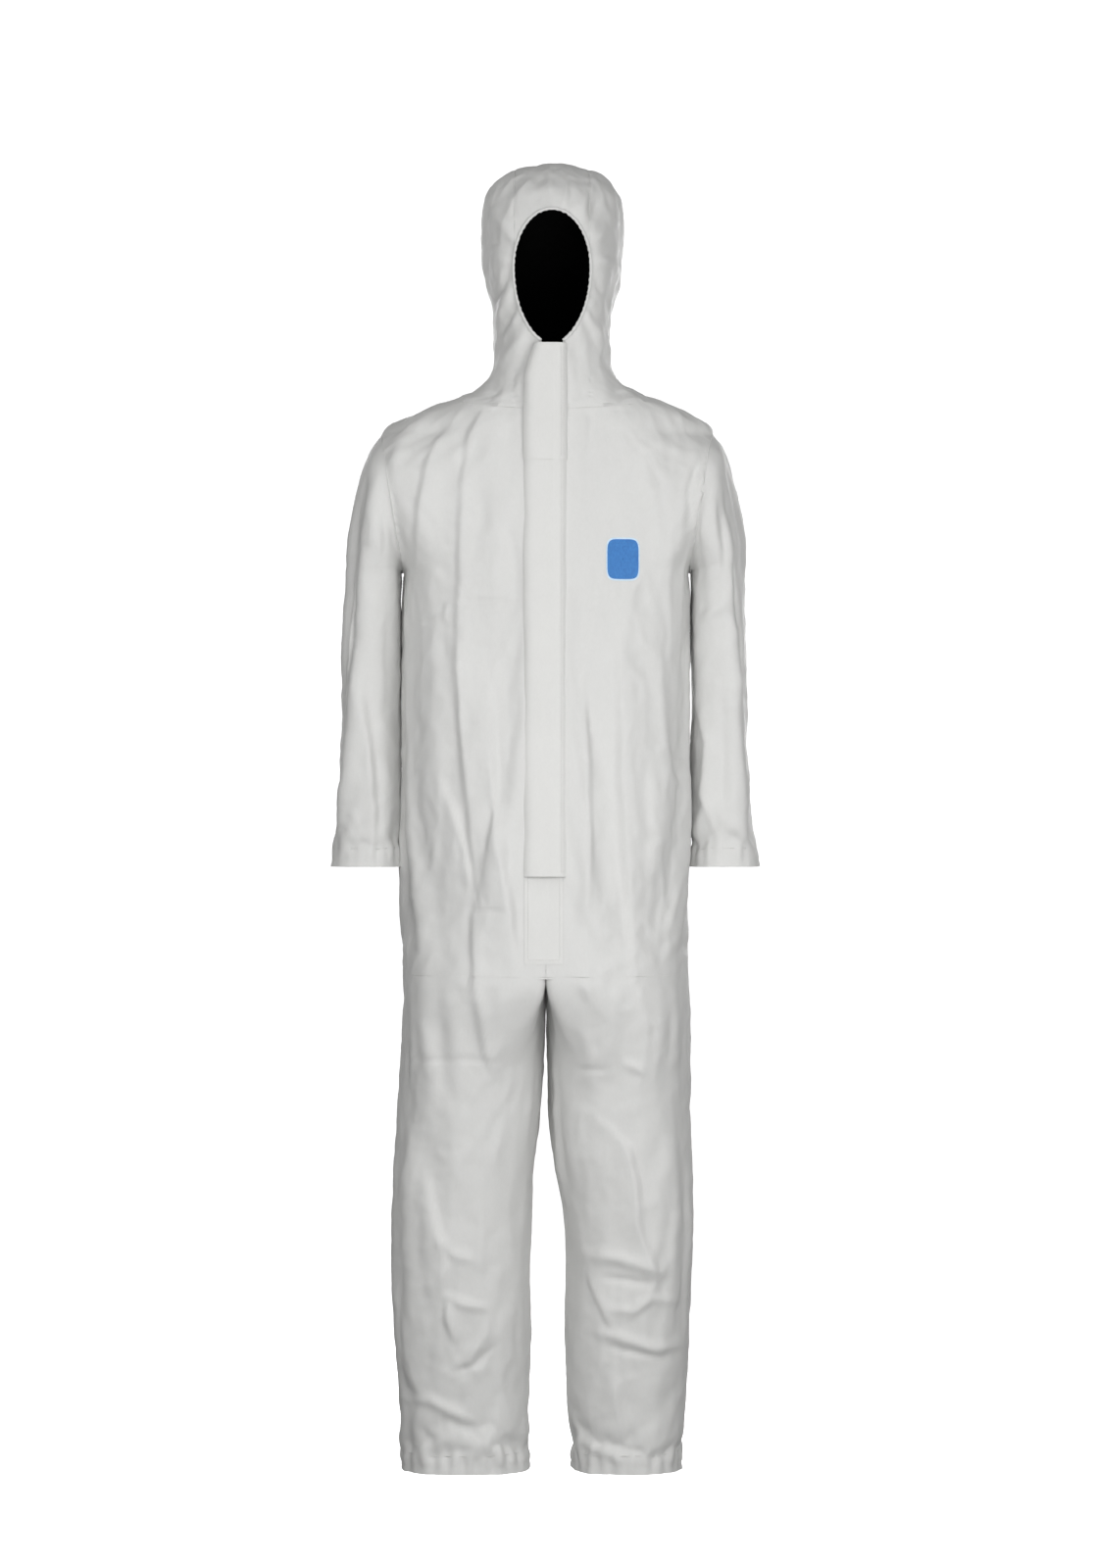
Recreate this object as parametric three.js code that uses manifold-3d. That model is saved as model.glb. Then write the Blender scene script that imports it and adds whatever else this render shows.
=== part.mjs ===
// A hooded chemical protective coverall of crisp non-woven fabric, size L, hanging as if worn.
// Millimetres, +Z up. The front faces -Y, so the wearer's left is +X.
// Heights are stated above the leg hems, and the whole suit is then lowered so that the origin
// is the middle of the neck ring, where the wearer's shoulders or a hanger carries it.
import * as THREE from "three";
import { mergeVertices } from "three/addons/utils/BufferGeometryUtils.js";
import Module from "manifold-3d";

const wasm = await Module();
wasm.setup();

// ---------------------------------------------------------------- driving dimensions

const wall = 2.4; // stand-in thickness of the fabric
const gap = 0.3; // between pieces that touch
const trim = 1.2; // thickness of tapes, elastics and the badge

const height = {
  hoodTop: 1723,
  faceCentre: 1564,
  chin: 1476, // top of the zip
  neck: 1419, // middle of the neck ring, the origin
  shoulderTip: 1362,
  chinFlapFoot: 1326,
  badge: 1196,
  armpit: 1185,
  upperArm: 1140, // upper sleeve meets the elbow
  foreArm: 980, // elbow meets the lower sleeve
  waist: 930,
  wrist: 794,
  flapFoot: 784,
  patchFoot: 672,
  crotch: 655,
  thighTop: 558,
  thighFoot: 500,
  shinTop: 300,
};

const zipLean = THREE.MathUtils.degToRad(4); // the front leans back from hem to chin
const zipFront = -98; // y of the front at the chin
const zipLength = 688;
const zipSlot = 9; // half the gap between the front panels, where the zip shows

const neckSlope = THREE.MathUtils.degToRad(16); // the neck ring is lower at the throat
const neckRingY = -10;
const collarHeight = 45;

const armholeLean = THREE.MathUtils.degToRad(9); // armhole plane, top outward
const armholeX = 188; // at the armpit
const armholeHalfDepth = 88;
const sleeveInnerX = 190.8;

const hemBand = 25;
const elasticBand = 8;

const face = { halfWidth: 50, halfHeight: 87 };
const hoodStrip = 49; // half the width of the hood's centre panel
const hoodOffsetX = 0;

const flap = { left: -29, right: 26.5, rise: 8.5, thickness: 1.6 };

const bodySides = 36;
const sleeveSides = 18;
const legSides = 20;

// ---------------------------------------------------------------- solids

// A closed geometry as a manifold-3d solid with its faces pointing out.
function solidOf(geometry) {
  const bare = new THREE.BufferGeometry().setAttribute("position", geometry.attributes.position);
  const merged = mergeVertices(bare.setIndex(geometry.index), 1e-3);
  const make = (triVerts) =>
    new wasm.Manifold(
      new wasm.Mesh({
        numProp: 3,
        vertProperties: new Float32Array(merged.attributes.position.array),
        triVerts,
      }),
    );
  const triVerts = new Uint32Array(merged.index.array);
  const solid = make(triVerts);
  return solid.volume() > 0 ? solid : make(triVerts.reverse());
}

function geometryOf(solid) {
  const mesh = solid.getMesh();
  const position = new THREE.BufferAttribute(new Float32Array(mesh.vertProperties), 3);
  const geometry = new THREE.BufferGeometry().setAttribute("position", position);
  geometry.setIndex(new THREE.BufferAttribute(new Uint32Array(mesh.triVerts), 1));
  geometry.computeVertexNormals();
  return geometry;
}

// A box from its lowest to its highest corner.
function block(low, high) {
  const size = high.map((top, axis) => top - low[axis]);
  const box = new THREE.BoxGeometry(...size);
  box.translate(...high.map((top, axis) => (top + low[axis]) / 2));
  return solidOf(box);
}

const far = 3000;
const above = (z) => block([-far, -far, z], [far, far, far]);
const below = (z) => block([-far, -far, -far], [far, far, z]);
const layer = (low, high) => block([-far, -far, low], [far, far, high]);
const toSide = (side, x) =>
  side > 0 ? block([x, -far, -far], [far, far, far]) : block([-far, -far, -far], [-x, far, far]);

// Everything behind the plane through a point.
function behind(point, normal) {
  const box = new THREE.BoxGeometry(2 * far, 2 * far, 2 * far);
  box.translate(0, 0, -far);
  const upward = new THREE.Vector3(0, 0, 1);
  box.applyQuaternion(new THREE.Quaternion().setFromUnitVectors(upward, normal));
  box.translate(point.x, point.y, point.z);
  return solidOf(box);
}

// A solid through rings of points, closed at both ends by a fan about the ring's middle.
function loft(rings) {
  const sides = rings[0].length;
  const middleOf = (points) =>
    points.reduce((sum, point) => sum.add(point), new THREE.Vector3()).divideScalar(sides);
  const points = [...rings.flat(), middleOf(rings[0]), middleOf(rings[rings.length - 1])];
  const top = (rings.length - 1) * sides;
  const index = [];
  for (let i = 0; i < sides; i += 1) {
    const next = (i + 1) % sides;
    for (let row = 0; row < top; row += sides) {
      index.push(row + i, row + next, row + sides + next);
      index.push(row + i, row + sides + next, row + sides + i);
    }
    index.push(points.length - 2, next, i);
    index.push(points.length - 1, top + i, top + next);
  }
  return solidOf(new THREE.BufferGeometry().setFromPoints(points).setIndex(index));
}

// A flat outline, drawn in x and z, given a thickness from y = near to y = beyond.
function plate(outline, near, beyond) {
  const flat = new THREE.ExtrudeGeometry(outline, {
    depth: beyond - near,
    bevelEnabled: false,
    curveSegments: 6,
  });
  flat.rotateX(Math.PI / 2);
  flat.translate(0, beyond, 0);
  return solidOf(flat);
}

function rectangle(left, right, low, high, corner = 0) {
  const shape = new THREE.Shape();
  shape.moveTo(left + corner, low);
  shape.lineTo(right - corner, low);
  shape.quadraticCurveTo(right, low, right, low + corner);
  shape.lineTo(right, high - corner);
  shape.quadraticCurveTo(right, high, right - corner, high);
  shape.lineTo(left + corner, high);
  shape.quadraticCurveTo(left, high, left, high - corner);
  shape.lineTo(left, low + corner);
  shape.quadraticCurveTo(left, low, left + corner, low);
  return shape;
}

// ---------------------------------------------------------------- shape of the body and hood

// Rows of stations, joined smoothly: the first number of each is its height.
function smooth(stations) {
  const heights = stations.map((row) => row[0]);
  const values = stations.flatMap((row) => row.slice(1));
  const curve = new THREE.CubicInterpolant(heights, values, stations[0].length - 1);
  return (z) => Array.from(curve.evaluate(z));
}

// height, y of the back, roundness of the outline (2 is an ellipse, more is squarer)
const backAndPower = smooth([
  [600, 108, 2.4],
  [750, 122, 2.4],
  [930, 104, 2.4],
  [1100, 118, 2.5],
  [1250, 122, 2.4],
  [1330, 106, 2.0],
  [1374, 86, 1.7],
  [1405, 76, 1.8],
  [1440, 72, 2.1],
  [1480, 84, 2.2],
  [1550, 108, 2.3],
  [1620, 117, 2.3],
  [1680, 98, 2.2],
  [1710, 58, 2.0],
  [1723, 16, 2.0],
]);

// height, half width of the hips and chest, up to the armpit
const trunkWidth = smooth([
  [600, 186.5],
  [790, 187],
  [930, 184],
  [1100, 186],
  [1185, 188],
  [1200, 188],
]);

// height, half width of the shoulders, neck and hood
const upperWidth = smooth([
  [1350, 232],
  [1362, 216],
  [1374, 205],
  [1390, 168],
  [1405, 126],
  [1419, 96],
  [1436, 81],
  [1460, 75],
  [1500, 76],
  [1566, 88],
  [1602, 94.5],
  [1638, 95],
  [1666, 90],
  [1693, 74],
  [1713, 46],
  [1723, 12],
]);

// height, y of the front of the hood above the chin
const hoodFront = smooth([
  [1440, -100],
  [1476, -98],
  [1520, -101],
  [1600, -106],
  [1650, -101],
  [1690, -76],
  [1712, -40],
  [1723, -8],
]);

const zipLineY = (z) => zipFront - (height.chin - z) * Math.tan(zipLean);

function armholeXAt(z) {
  return armholeX + (z - height.armpit) * Math.tan(armholeLean);
}

// Outline of the body at a height: half width, front, back and roundness.
function outline(z) {
  const [back, power] = backAndPower(z);
  const front = z < height.chin ? zipLineY(z) : hoodFront(z)[0];
  if (z <= height.armpit) return { halfWidth: trunkWidth(z)[0], front, back, power };
  if (z >= height.shoulderTip) return { halfWidth: upperWidth(z)[0], front, back, power };
  // Beside an armhole the outline runs on past the armhole's plane, so that the plane cuts an oval.
  const along = (2 * (z - height.armpit)) / (height.shoulderTip - height.armpit) - 1;
  const open = armholeHalfDepth * Math.sqrt(1 - along * along);
  const halfDepth = (back - front) / 2;
  const reach = (1 - (open / halfDepth) ** power) ** (1 / power);
  return { halfWidth: armholeXAt(z) / reach, front, back, power };
}

// A ring of points round a squared-off ellipse.
function ring({ x = 0, halfWidth, front, back, power }, z, sides) {
  const bend = (value) => Math.sign(value) * Math.abs(value) ** (2 / power);
  return Array.from({ length: sides }, (_, i) => {
    const turn = (2 * Math.PI * (i + 0.5)) / sides;
    const y = (front + back) / 2 + ((back - front) / 2) * bend(Math.sin(turn));
    return new THREE.Vector3(x + halfWidth * bend(Math.cos(turn)), y, z);
  });
}

const bodyHeights = [
  600, 655, 700, 750, 800, 860, 930, 1000, 1060, 1120, 1160, 1185, 1200, 1225, 1255, 1290, 1320,
  1340, 1355, 1362, 1374, 1388, 1402, 1419, 1436, 1460, 1490, 1525, 1566, 1602, 1638, 1666, 1690,
  1708, 1719, 1723,
];

// The body and hood as one solid, grown outward by an amount, or shrunk where it is negative.
function bodySolid(grow) {
  const sections = bodyHeights.map((z) => {
    const o = outline(z);
    const shoulders = THREE.MathUtils.smoothstep(z, 1340, 1370);
    const lift = grow * shoulders;
    return ring(
      { ...o, halfWidth: o.halfWidth + grow, front: o.front - grow, back: o.back + grow },
      z + lift,
      bodySides,
    );
  });
  return loft(sections);
}

const bodyOuter = bodySolid(0);
const bodyShell = bodyOuter.subtract(bodySolid(-wall));

// ---------------------------------------------------------------- planes that part the panels

const neckNormal = new THREE.Vector3(0, -Math.sin(neckSlope), Math.cos(neckSlope));
const neckPlane = (offset) =>
  behind(
    new THREE.Vector3(0, neckRingY, height.neck).addScaledVector(neckNormal, offset),
    neckNormal,
  );
const armholeNormal = (side) =>
  new THREE.Vector3(side * Math.cos(armholeLean), 0, -Math.sin(armholeLean));
const insideArmhole = (side, offset) =>
  behind(new THREE.Vector3(side * (armholeX + offset), 0, height.armpit), armholeNormal(side));

// The armhole plane only bounds the trunk from the armpit up.
const besideArmhole = (side) =>
  toSide(side, armholeX - 60).intersect(above(height.armpit - 1)).subtract(insideArmhole(side, 0));

const frontGroupTurn = new THREE.Matrix4()
  .makeTranslation(0, zipFront, height.chin)
  .multiply(new THREE.Matrix4().makeRotationX(-zipLean));

// The slot that the zip shows in, from the chin down past the bottom stop.
const zipSlotSolid = (() => {
  const slot = new THREE.BoxGeometry(2 * zipSlot, 60, zipLength + 30);
  slot.translate(0, 0, 30 - (zipLength + 30) / 2);
  slot.applyMatrix4(frontGroupTurn);
  return solidOf(slot);
})();

const faceOpening = (grow) => {
  const oval = new THREE.Shape();
  oval.absellipse(
    hoodOffsetX,
    height.faceCentre,
    face.halfWidth + grow,
    face.halfHeight + grow,
    0,
    2 * Math.PI,
  );
  const prism = new THREE.ExtrudeGeometry(oval, {
    depth: 200,
    bevelEnabled: false,
    curveSegments: 16,
  });
  prism.rotateX(Math.PI / 2);
  return solidOf(prism);
};

const sideSeamY = -5;
const inFront = block([-far, -far, -far], [far, sideSeamY - gap / 2, far]);
const atBack = block([-far, sideSeamY + gap / 2, -far], [far, far, far]);

// ---------------------------------------------------------------- materials and assembly

const whiteFabric = new THREE.MeshStandardMaterial({ color: 0xdcdcda, roughness: 0.75 });
const whiteTrim = new THREE.MeshStandardMaterial({ color: 0xe6e6e2, roughness: 0.6 });
const blackLining = new THREE.MeshStandardMaterial({ color: 0x0b0b0b, roughness: 0.95 });
const elasticWhite = new THREE.MeshStandardMaterial({ color: 0xd2d2cf, roughness: 0.85 });
const badgeBlue = new THREE.MeshStandardMaterial({ color: 0x2f74b8, roughness: 0.5 });
const zipPlastic = new THREE.MeshStandardMaterial({ color: 0xe9e9e6, roughness: 0.4 });
const zipMetal = new THREE.MeshStandardMaterial({ color: 0xd9dadb, roughness: 0.35, metalness: 0.8 });

const suit = new THREE.Group();
suit.position.z = -height.neck;

function piece(name, solid, material, parent = suit) {
  const mesh = new THREE.Mesh(geometryOf(solid), material);
  mesh.name = name;
  parent.add(mesh);
  return mesh;
}

const sides = { left: 1, right: -1 };

// ---------------------------------------------------------------- trunk

const trunk = bodyShell
  .intersect(above(height.crotch))
  .intersect(neckPlane(-gap))
  .subtract(besideArmhole(1))
  .subtract(besideArmhole(-1))
  .subtract(zipSlotSolid);

for (const [name, side] of Object.entries(sides)) {
  const half = trunk.intersect(toSide(side, gap / 2));
  piece(`front_${name}_panel`, half.intersect(inFront), whiteFabric);
  piece(`back_${name}_panel`, half.intersect(atBack), whiteFabric);
}

// A thin band on the body's surface: from one growth to another, within a mask.
const skin = (from, to, mask) => bodySolid(to).subtract(bodySolid(from)).intersect(mask);

const waistHalfWidth = 169;
const waistMask = layer(height.waist - elasticBand, height.waist + elasticBand)
  .intersect(block([-waistHalfWidth, sideSeamY + 6, -far], [waistHalfWidth, far, far]));
piece("waist_elastic", skin(-wall - gap - trim, -wall - gap, waistMask), elasticWhite);

// A plain rounded badge on the wearer's left breast.
const badge = { x: 100, halfWidth: 22, halfHeight: 28, corner: 9 };
const badgeOutline = rectangle(
  badge.x - badge.halfWidth,
  badge.x + badge.halfWidth,
  height.badge - badge.halfHeight,
  height.badge + badge.halfHeight,
  badge.corner,
);
piece("chest_badge", skin(gap, gap + trim, plate(badgeOutline, -200, -20)), badgeBlue);

// The stitched patch that closes the front below the storm flap.
const patchOutline = rectangle(flap.left, 16, height.patchFoot, height.flapFoot - 2, 2);
piece("zip_base_patch", skin(gap, gap + trim, plate(patchOutline, -220, -20)), whiteFabric);

// ---------------------------------------------------------------- hood

const hood = bodyShell
  .subtract(neckPlane(collarHeight))
  .subtract(zipSlotSolid)
  .subtract(faceOpening(2.4));
const stripFrontFoot = height.faceCentre;
const strip = (half, shift) =>
  block([-half, -shift, -far], [half, far, far]).add(
    block([-half, -far, stripFrontFoot - shift], [half, far, far]),
  );
piece("hood_centre_panel", hood.intersect(strip(hoodStrip - gap, 0)), whiteFabric);
for (const [name, side] of Object.entries(sides)) {
  const half = hood.subtract(strip(hoodStrip, gap)).intersect(toSide(side, gap / 2));
  piece(`hood_${name}_panel`, half, whiteFabric);
}

const collar = bodyShell
  .intersect(neckPlane(collarHeight - gap))
  .subtract(neckPlane(0))
  .subtract(zipSlotSolid);
for (const [name, side] of Object.entries(sides)) {
  piece(`collar_${name}`, collar.intersect(toSide(side, gap / 2)), whiteFabric);
}

const liningDepth = 1.2;
const lining = bodySolid(-wall - gap)
  .subtract(bodySolid(-wall - gap - liningDepth))
  .subtract(neckPlane(collarHeight))
  .subtract(faceOpening(3.2))
  .subtract(block([-far, -far, -far], [far, 0, height.chin + 12]));
piece("hood_lining", lining, blackLining);

// The elastic in the rim of the face opening follows the hood's front.
const rimRadius = 2;
class FaceRim extends THREE.Curve {
  getPoint(t, target = new THREE.Vector3()) {
    const turn = 2 * Math.PI * t;
    const x = face.halfWidth * Math.sin(turn);
    const z = height.faceCentre - face.halfHeight * Math.cos(turn);
    const { halfWidth, front, back, power } = outline(z);
    const depth = (1 - Math.abs(x / halfWidth) ** power) ** (1 / power);
    return target.set(x, (front + back) / 2 - ((back - front) / 2 - wall / 2) * depth, z);
  }
}
const rimSection = new THREE.Shape();
rimSection.absarc(0, 0, rimRadius, 0, 2 * Math.PI);
const rim = new THREE.ExtrudeGeometry(rimSection, {
  steps: 40,
  curveSegments: 4,
  bevelEnabled: false,
  extrudePath: new FaceRim(),
});

// ---------------------------------------------------------------- sleeves

// height, y of the middle, half depth, x of the outer edge
const sleeveLine = smooth([
  [780, -5, 42, 281],
  [794, -5, 43, 280],
  [903, 2, 50, 270],
  [1030, 8, 58, 265],
  [1130, 7, 66, 258],
  [1185, 4, 72, 256],
]);

function sleeveRing(side, z, grow) {
  const [middle, halfDepth, outer] = sleeveLine(z);
  const halfWidth = (outer - sleeveInnerX) / 2;
  return ring(
    {
      x: side * (sleeveInnerX + halfWidth),
      halfWidth: halfWidth + grow,
      front: middle - halfDepth - grow,
      back: middle + halfDepth + grow,
      power: 2.2,
    },
    z,
    sleeveSides,
  );
}

function sleeveTube(side, from, to, outerGrow, innerGrow) {
  const steps = Math.max(1, Math.round((to - from) / 50));
  const heights = Array.from({ length: steps + 1 }, (_, i) => from + ((to - from) * i) / steps);
  const column = (grow, over) => {
    const ends = [heights[0] - over, ...heights.slice(1, -1), heights[heights.length - 1] + over];
    return loft(ends.map((z) => sleeveRing(side, z, grow)));
  };
  return column(outerGrow, 0).subtract(column(innerGrow, 1));
}

// The sleeve head turns from the armhole's plane to the level top of the sleeve about the armpit.
// fan angle from the armhole in degrees, distance from armpit to the outer edge
const headReach = smooth([
  [0, 178],
  [11, 148],
  [22, 119],
  [40, 87],
  [60, 72],
  [81, 65],
]);
const headTurn = 81;

function headRing(side, fan, grow) {
  const lean = armholeLean + THREE.MathUtils.degToRad(fan);
  const share = fan / headTurn;
  const across = headReach(fan)[0] / 2;
  const halfDepth = THREE.MathUtils.lerp(armholeHalfDepth, 72, share) + grow;
  return Array.from({ length: sleeveSides }, (_, i) => {
    const turn = (2 * Math.PI * (i + 0.5)) / sleeveSides;
    const out = across + (across + grow) * Math.cos(turn) + sleeveInnerX - armholeX;
    const z = height.armpit + out * Math.cos(lean);
    const { front, back } = outline(z);
    const middle = THREE.MathUtils.lerp((front + back) / 2, 4, share);
    return new THREE.Vector3(
      side * (armholeX + out * Math.sin(lean)),
      middle + halfDepth * Math.sin(turn),
      z,
    );
  });
}

function sleeveHead(side) {
  const fans = [0.3, 11, 22, 34, 48, 64, headTurn - 0.3];
  const solid = (grow, over) => {
    const stretched = fans.map((fan, i) =>
      i === 0 ? fan - over : i === fans.length - 1 ? fan + over : fan,
    );
    return loft(stretched.map((fan) => headRing(side, fan, grow)));
  };
  return solid(0, 0)
    .subtract(solid(-wall, 1))
    .subtract(insideArmhole(side, gap))
    .intersect(above(height.armpit + gap));
}

for (const [name, side] of Object.entries(sides)) {
  const tube = (from, to) => sleeveTube(side, from, to, 0, -wall);
  piece(`${name}_sleeve_head`, sleeveHead(side), whiteFabric);
  piece(`${name}_upper_sleeve`, tube(height.upperArm + gap, height.armpit), whiteFabric);
  piece(`${name}_elbow`, tube(height.foreArm + gap, height.upperArm), whiteFabric);
  piece(`${name}_lower_sleeve`, tube(height.wrist + hemBand + gap, height.foreArm), whiteFabric);
  piece(`${name}_wrist_hem`, tube(height.wrist, height.wrist + hemBand), whiteFabric);
  const elasticFoot = height.wrist + (hemBand - elasticBand) / 2;
  piece(
    `${name}_wrist_elastic`,
    sleeveTube(side, elasticFoot, elasticFoot + elasticBand, -wall - gap, -wall - gap - trim),
    elasticWhite,
  );
}

// ---------------------------------------------------------------- legs

// height, x of the middle, half width, y of the middle, half depth
const legLine = smooth([
  [0, 105, 75, 0, 72],
  [70, 105, 77, 0, 76],
  [150, 108, 80, -2, 82],
  [300, 109, 84, -8, 90],
  [400, 105, 87, -12, 94],
  [490, 101, 89, -14, 100],
  [560, 98, 90, -18, 113],
  [655, 96, 90.5, -21.5, 132],
]);

// Towards the crotch the leg's outline keeps within the body's, so that the two meet edge to edge.
function legRing(side, z, grow) {
  const [x, halfWidth, middle, halfDepth] = legLine(z);
  const points = ring(
    {
      x: side * x,
      halfWidth: halfWidth + grow,
      front: middle - halfDepth - grow,
      back: middle + halfDepth + grow,
      power: 2.3,
    },
    z,
    legSides,
  );
  const body = outline(height.crotch);
  const bodyMiddle = (body.front + body.back) / 2;
  const share = THREE.MathUtils.smoothstep(z, height.thighTop, height.crotch);
  for (const point of points) {
    const reach = Math.min(1, Math.abs(point.x) / (body.halfWidth + grow));
    const depth = (1 - reach ** body.power) ** (1 / body.power);
    const limit = depth * ((body.back - body.front) / 2 + grow);
    const held = THREE.MathUtils.clamp(point.y, bodyMiddle - limit, bodyMiddle + limit);
    point.y = THREE.MathUtils.lerp(point.y, held, share);
  }
  return points;
}

function legTube(side, from, to, outerGrow, innerGrow) {
  const steps = Math.max(1, Math.round((to - from) / 60));
  const heights = Array.from({ length: steps + 1 }, (_, i) => from + ((to - from) * i) / steps);
  const column = (grow, over) => {
    const ends = [heights[0] - over, ...heights.slice(1, -1), heights[heights.length - 1] + over];
    return loft(ends.map((z) => legRing(side, z, grow)));
  };
  return column(outerGrow, 0).subtract(column(innerGrow, 1));
}

const legTop = height.crotch - gap;
for (const [name, side] of Object.entries(sides)) {
  const tube = (from, to) => legTube(side, from, to, 0, -wall);
  piece(`${name}_hip`, tube(height.thighTop + gap, legTop), whiteFabric);
  piece(`${name}_thigh`, tube(height.thighFoot + gap, height.thighTop), whiteFabric);
  piece(`${name}_knee`, tube(height.shinTop + gap, height.thighFoot), whiteFabric);
  piece(`${name}_shin`, tube(hemBand + gap, height.shinTop), whiteFabric);
  piece(`${name}_ankle_hem`, tube(0, hemBand), whiteFabric);
  const elasticFoot = (hemBand - elasticBand) / 2;
  piece(
    `${name}_ankle_elastic`,
    legTube(side, elasticFoot, elasticFoot + elasticBand, -wall - gap, -wall - gap - trim),
    elasticWhite,
  );
}

// The gusset closes the body between the legs: the body's outline less the two legs.
const gussetLayer = layer(legTop - wall, legTop);
const legPlug = (side) =>
  loft([-10, 10].map((rise) => legRing(side, height.crotch, gap).map((point) => point.setZ(
    height.crotch + rise))));
const gusset = bodyOuter
  .intersect(gussetLayer)
  .intersect(block([-60, -far, 0], [60, far, far]))
  .subtract(legPlug(1))
  .subtract(legPlug(-1));
piece("crotch_gusset", gusset, whiteFabric);

// ---------------------------------------------------------------- zip and flaps
// In this group z runs up the zip from the chin, and -y points out of the front.

const front = new THREE.Group();
front.position.set(0, zipFront, height.chin);
front.rotation.x = -zipLean;
suit.add(front);

const tape = { inner: 3.3, outer: 12, near: 3.8, far: 4.6, foldedOuter: 8.6, foldedLength: 52 };
const teeth = { inner: 0.7, outer: 3, near: 2.7, far: 5.7, top: -9 };
const slider = { halfWidth: 5.5, top: -2.3, foot: -16.3, near: -0.9, far: 7.7 };
const channel = { halfWidth: 3.4, near: 2, far: 6.1 };
const tapeSlot = { near: 3.4, far: 5 };

for (const [name, side] of Object.entries(sides)) {
  const bar = (inner, outer, near, beyond, low, high) => {
    const xs = [side * inner, side * outer].sort((a, b) => a - b);
    return block([xs[0], near, low], [xs[1], beyond, high]);
  };
  const tapeBar = (outer, top) => bar(tape.inner, outer, tape.near, tape.far, -zipLength, top);
  const folded = tapeBar(tape.foldedOuter, -0.5).add(tapeBar(tape.outer, -tape.foldedLength));
  piece(`zip_tape_${name}`, folded, whiteTrim, front);
  const teethBar = bar(teeth.inner, teeth.outer, teeth.near, teeth.far, 6 - zipLength, teeth.top);
  piece(`zip_teeth_${name}`, teethBar, zipPlastic, front);
  const stop = bar(0.6, 3, 2.9, 5.5, slider.top + gap, -0.4);
  piece(`zip_top_stop_${name}`, stop, zipPlastic, front);
}
const bottomStop = block([-3.1, 2.5, 1 - zipLength], [3.1, 5.9, 6 - gap - zipLength]);
piece("zip_bottom_stop", bottomStop, zipPlastic, front);

// Slider: two plates round the teeth, joined by the wedge that parts them, and a bail for the tab.
const shield = new THREE.Shape();
shield.moveTo(-slider.halfWidth, slider.top);
shield.lineTo(-slider.halfWidth, slider.top - 7);
shield.quadraticCurveTo(-slider.halfWidth, slider.foot + 2, -3.6, slider.foot);
shield.lineTo(3.6, slider.foot);
shield.quadraticCurveTo(slider.halfWidth, slider.foot + 2, slider.halfWidth, slider.top - 7);
shield.lineTo(slider.halfWidth, slider.top);
const channelBlock = block(
  [-channel.halfWidth, channel.near, -40],
  [channel.halfWidth, channel.far, 20],
);
const tapeSlots = block([-20, tapeSlot.near, -40], [20, tapeSlot.far, 20]);
const wedge = block([-0.5, channel.near - 0.5, -7.5], [0.5, channel.far + 0.5, -3.5]);
const rails = block([-slider.halfWidth, tapeSlot.far, -40], [slider.halfWidth, channel.far, 20]);
const sliderBody = plate(shield, slider.near, slider.far)
  .subtract(channelBlock)
  .subtract(tapeSlots)
  .subtract(rails.subtract(block([-9, 5.7, -40], [9, 9, 20])))
  .add(wedge);
const bail = block([-1.1, -4.9, -12], [1.1, slider.near + 0.5, -4.5]).subtract(
  block([-3, -3.8, -10.5], [3, slider.near, -6]),
);
piece("zip_slider", sliderBody.add(bail), zipMetal, front);

// Pull tab: its eye runs under the bail, and its blade hangs down the zip.
const tabTop = -6.3;
const tabLength = 26;
const tabOutline = rectangle(-3.2, 3.2, tabTop - tabLength, tabTop, 1);
tabOutline.holes.push(rectangle(-1.8, 1.8, tabTop - 7.6, tabTop - 2));
piece("zip_pull_tab", plate(tabOutline, -3.3, -1.9), zipMetal, front);

// A flap is an arched strip over the zip, sewn along its right edge.
function archedStrip(left, right, low, high, near, thickness) {
  const middle = (left + right) / 2;
  const peak = 2 * flap.rise;
  const arch = new THREE.Shape();
  arch.moveTo(left, -near);
  arch.quadraticCurveTo(middle, -near - peak, right, -near);
  arch.lineTo(right, -near - thickness);
  arch.quadraticCurveTo(middle, -near - thickness - peak, left, -near - thickness);
  arch.closePath();
  const strip = new THREE.ExtrudeGeometry(arch, {
    depth: high - low,
    bevelEnabled: false,
    curveSegments: 8,
  });
  strip.translate(0, 0, low);
  return solidOf(strip);
}
const flapNear = 0.8;
const alongZip = (z) => (z - height.chin) / Math.cos(zipLean);
const flapTop = alongZip(height.chinFlapFoot);
const flapFoot = alongZip(height.flapFoot);
const storm = archedStrip(flap.left, flap.right, flapFoot, flapTop, flapNear, flap.thickness);
piece("storm_flap", storm, whiteFabric, front);

// The chin flap narrows towards the chin.
const chinOutline = new THREE.Shape();
chinOutline.moveTo(flap.left, flapTop + 1);
chinOutline.lineTo(flap.right, flapTop + 1);
chinOutline.lineTo(flap.right, 0);
chinOutline.lineTo(-16, 0);
chinOutline.lineTo(flap.left, -38);
chinOutline.closePath();
const chin = archedStrip(flap.left, flap.right, flapTop, 0, flapNear, flap.thickness).intersect(
  plate(chinOutline, -40, 10),
);
piece("chin_flap", chin, whiteFabric, front);

// Self-adhesive strips inside the free edges of both flaps.
const stripUnder = (low, high, left, right) =>
  archedStrip(flap.left, flap.right, low, high, flapNear - gap - 0.8, 0.8).intersect(
    block([left, -40, low], [right, 10, high]),
  );
piece("storm_flap_adhesive", stripUnder(flapFoot + 6, flapTop - 6, -24, -12), whiteTrim, front);
piece("chin_flap_adhesive", stripUnder(flapTop + 8, -44, -24, -12), whiteTrim, front);

piece("face_elastic", solidOf(rim), elasticWhite);

export default suit;
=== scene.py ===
import math
from contextlib import contextmanager

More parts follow.
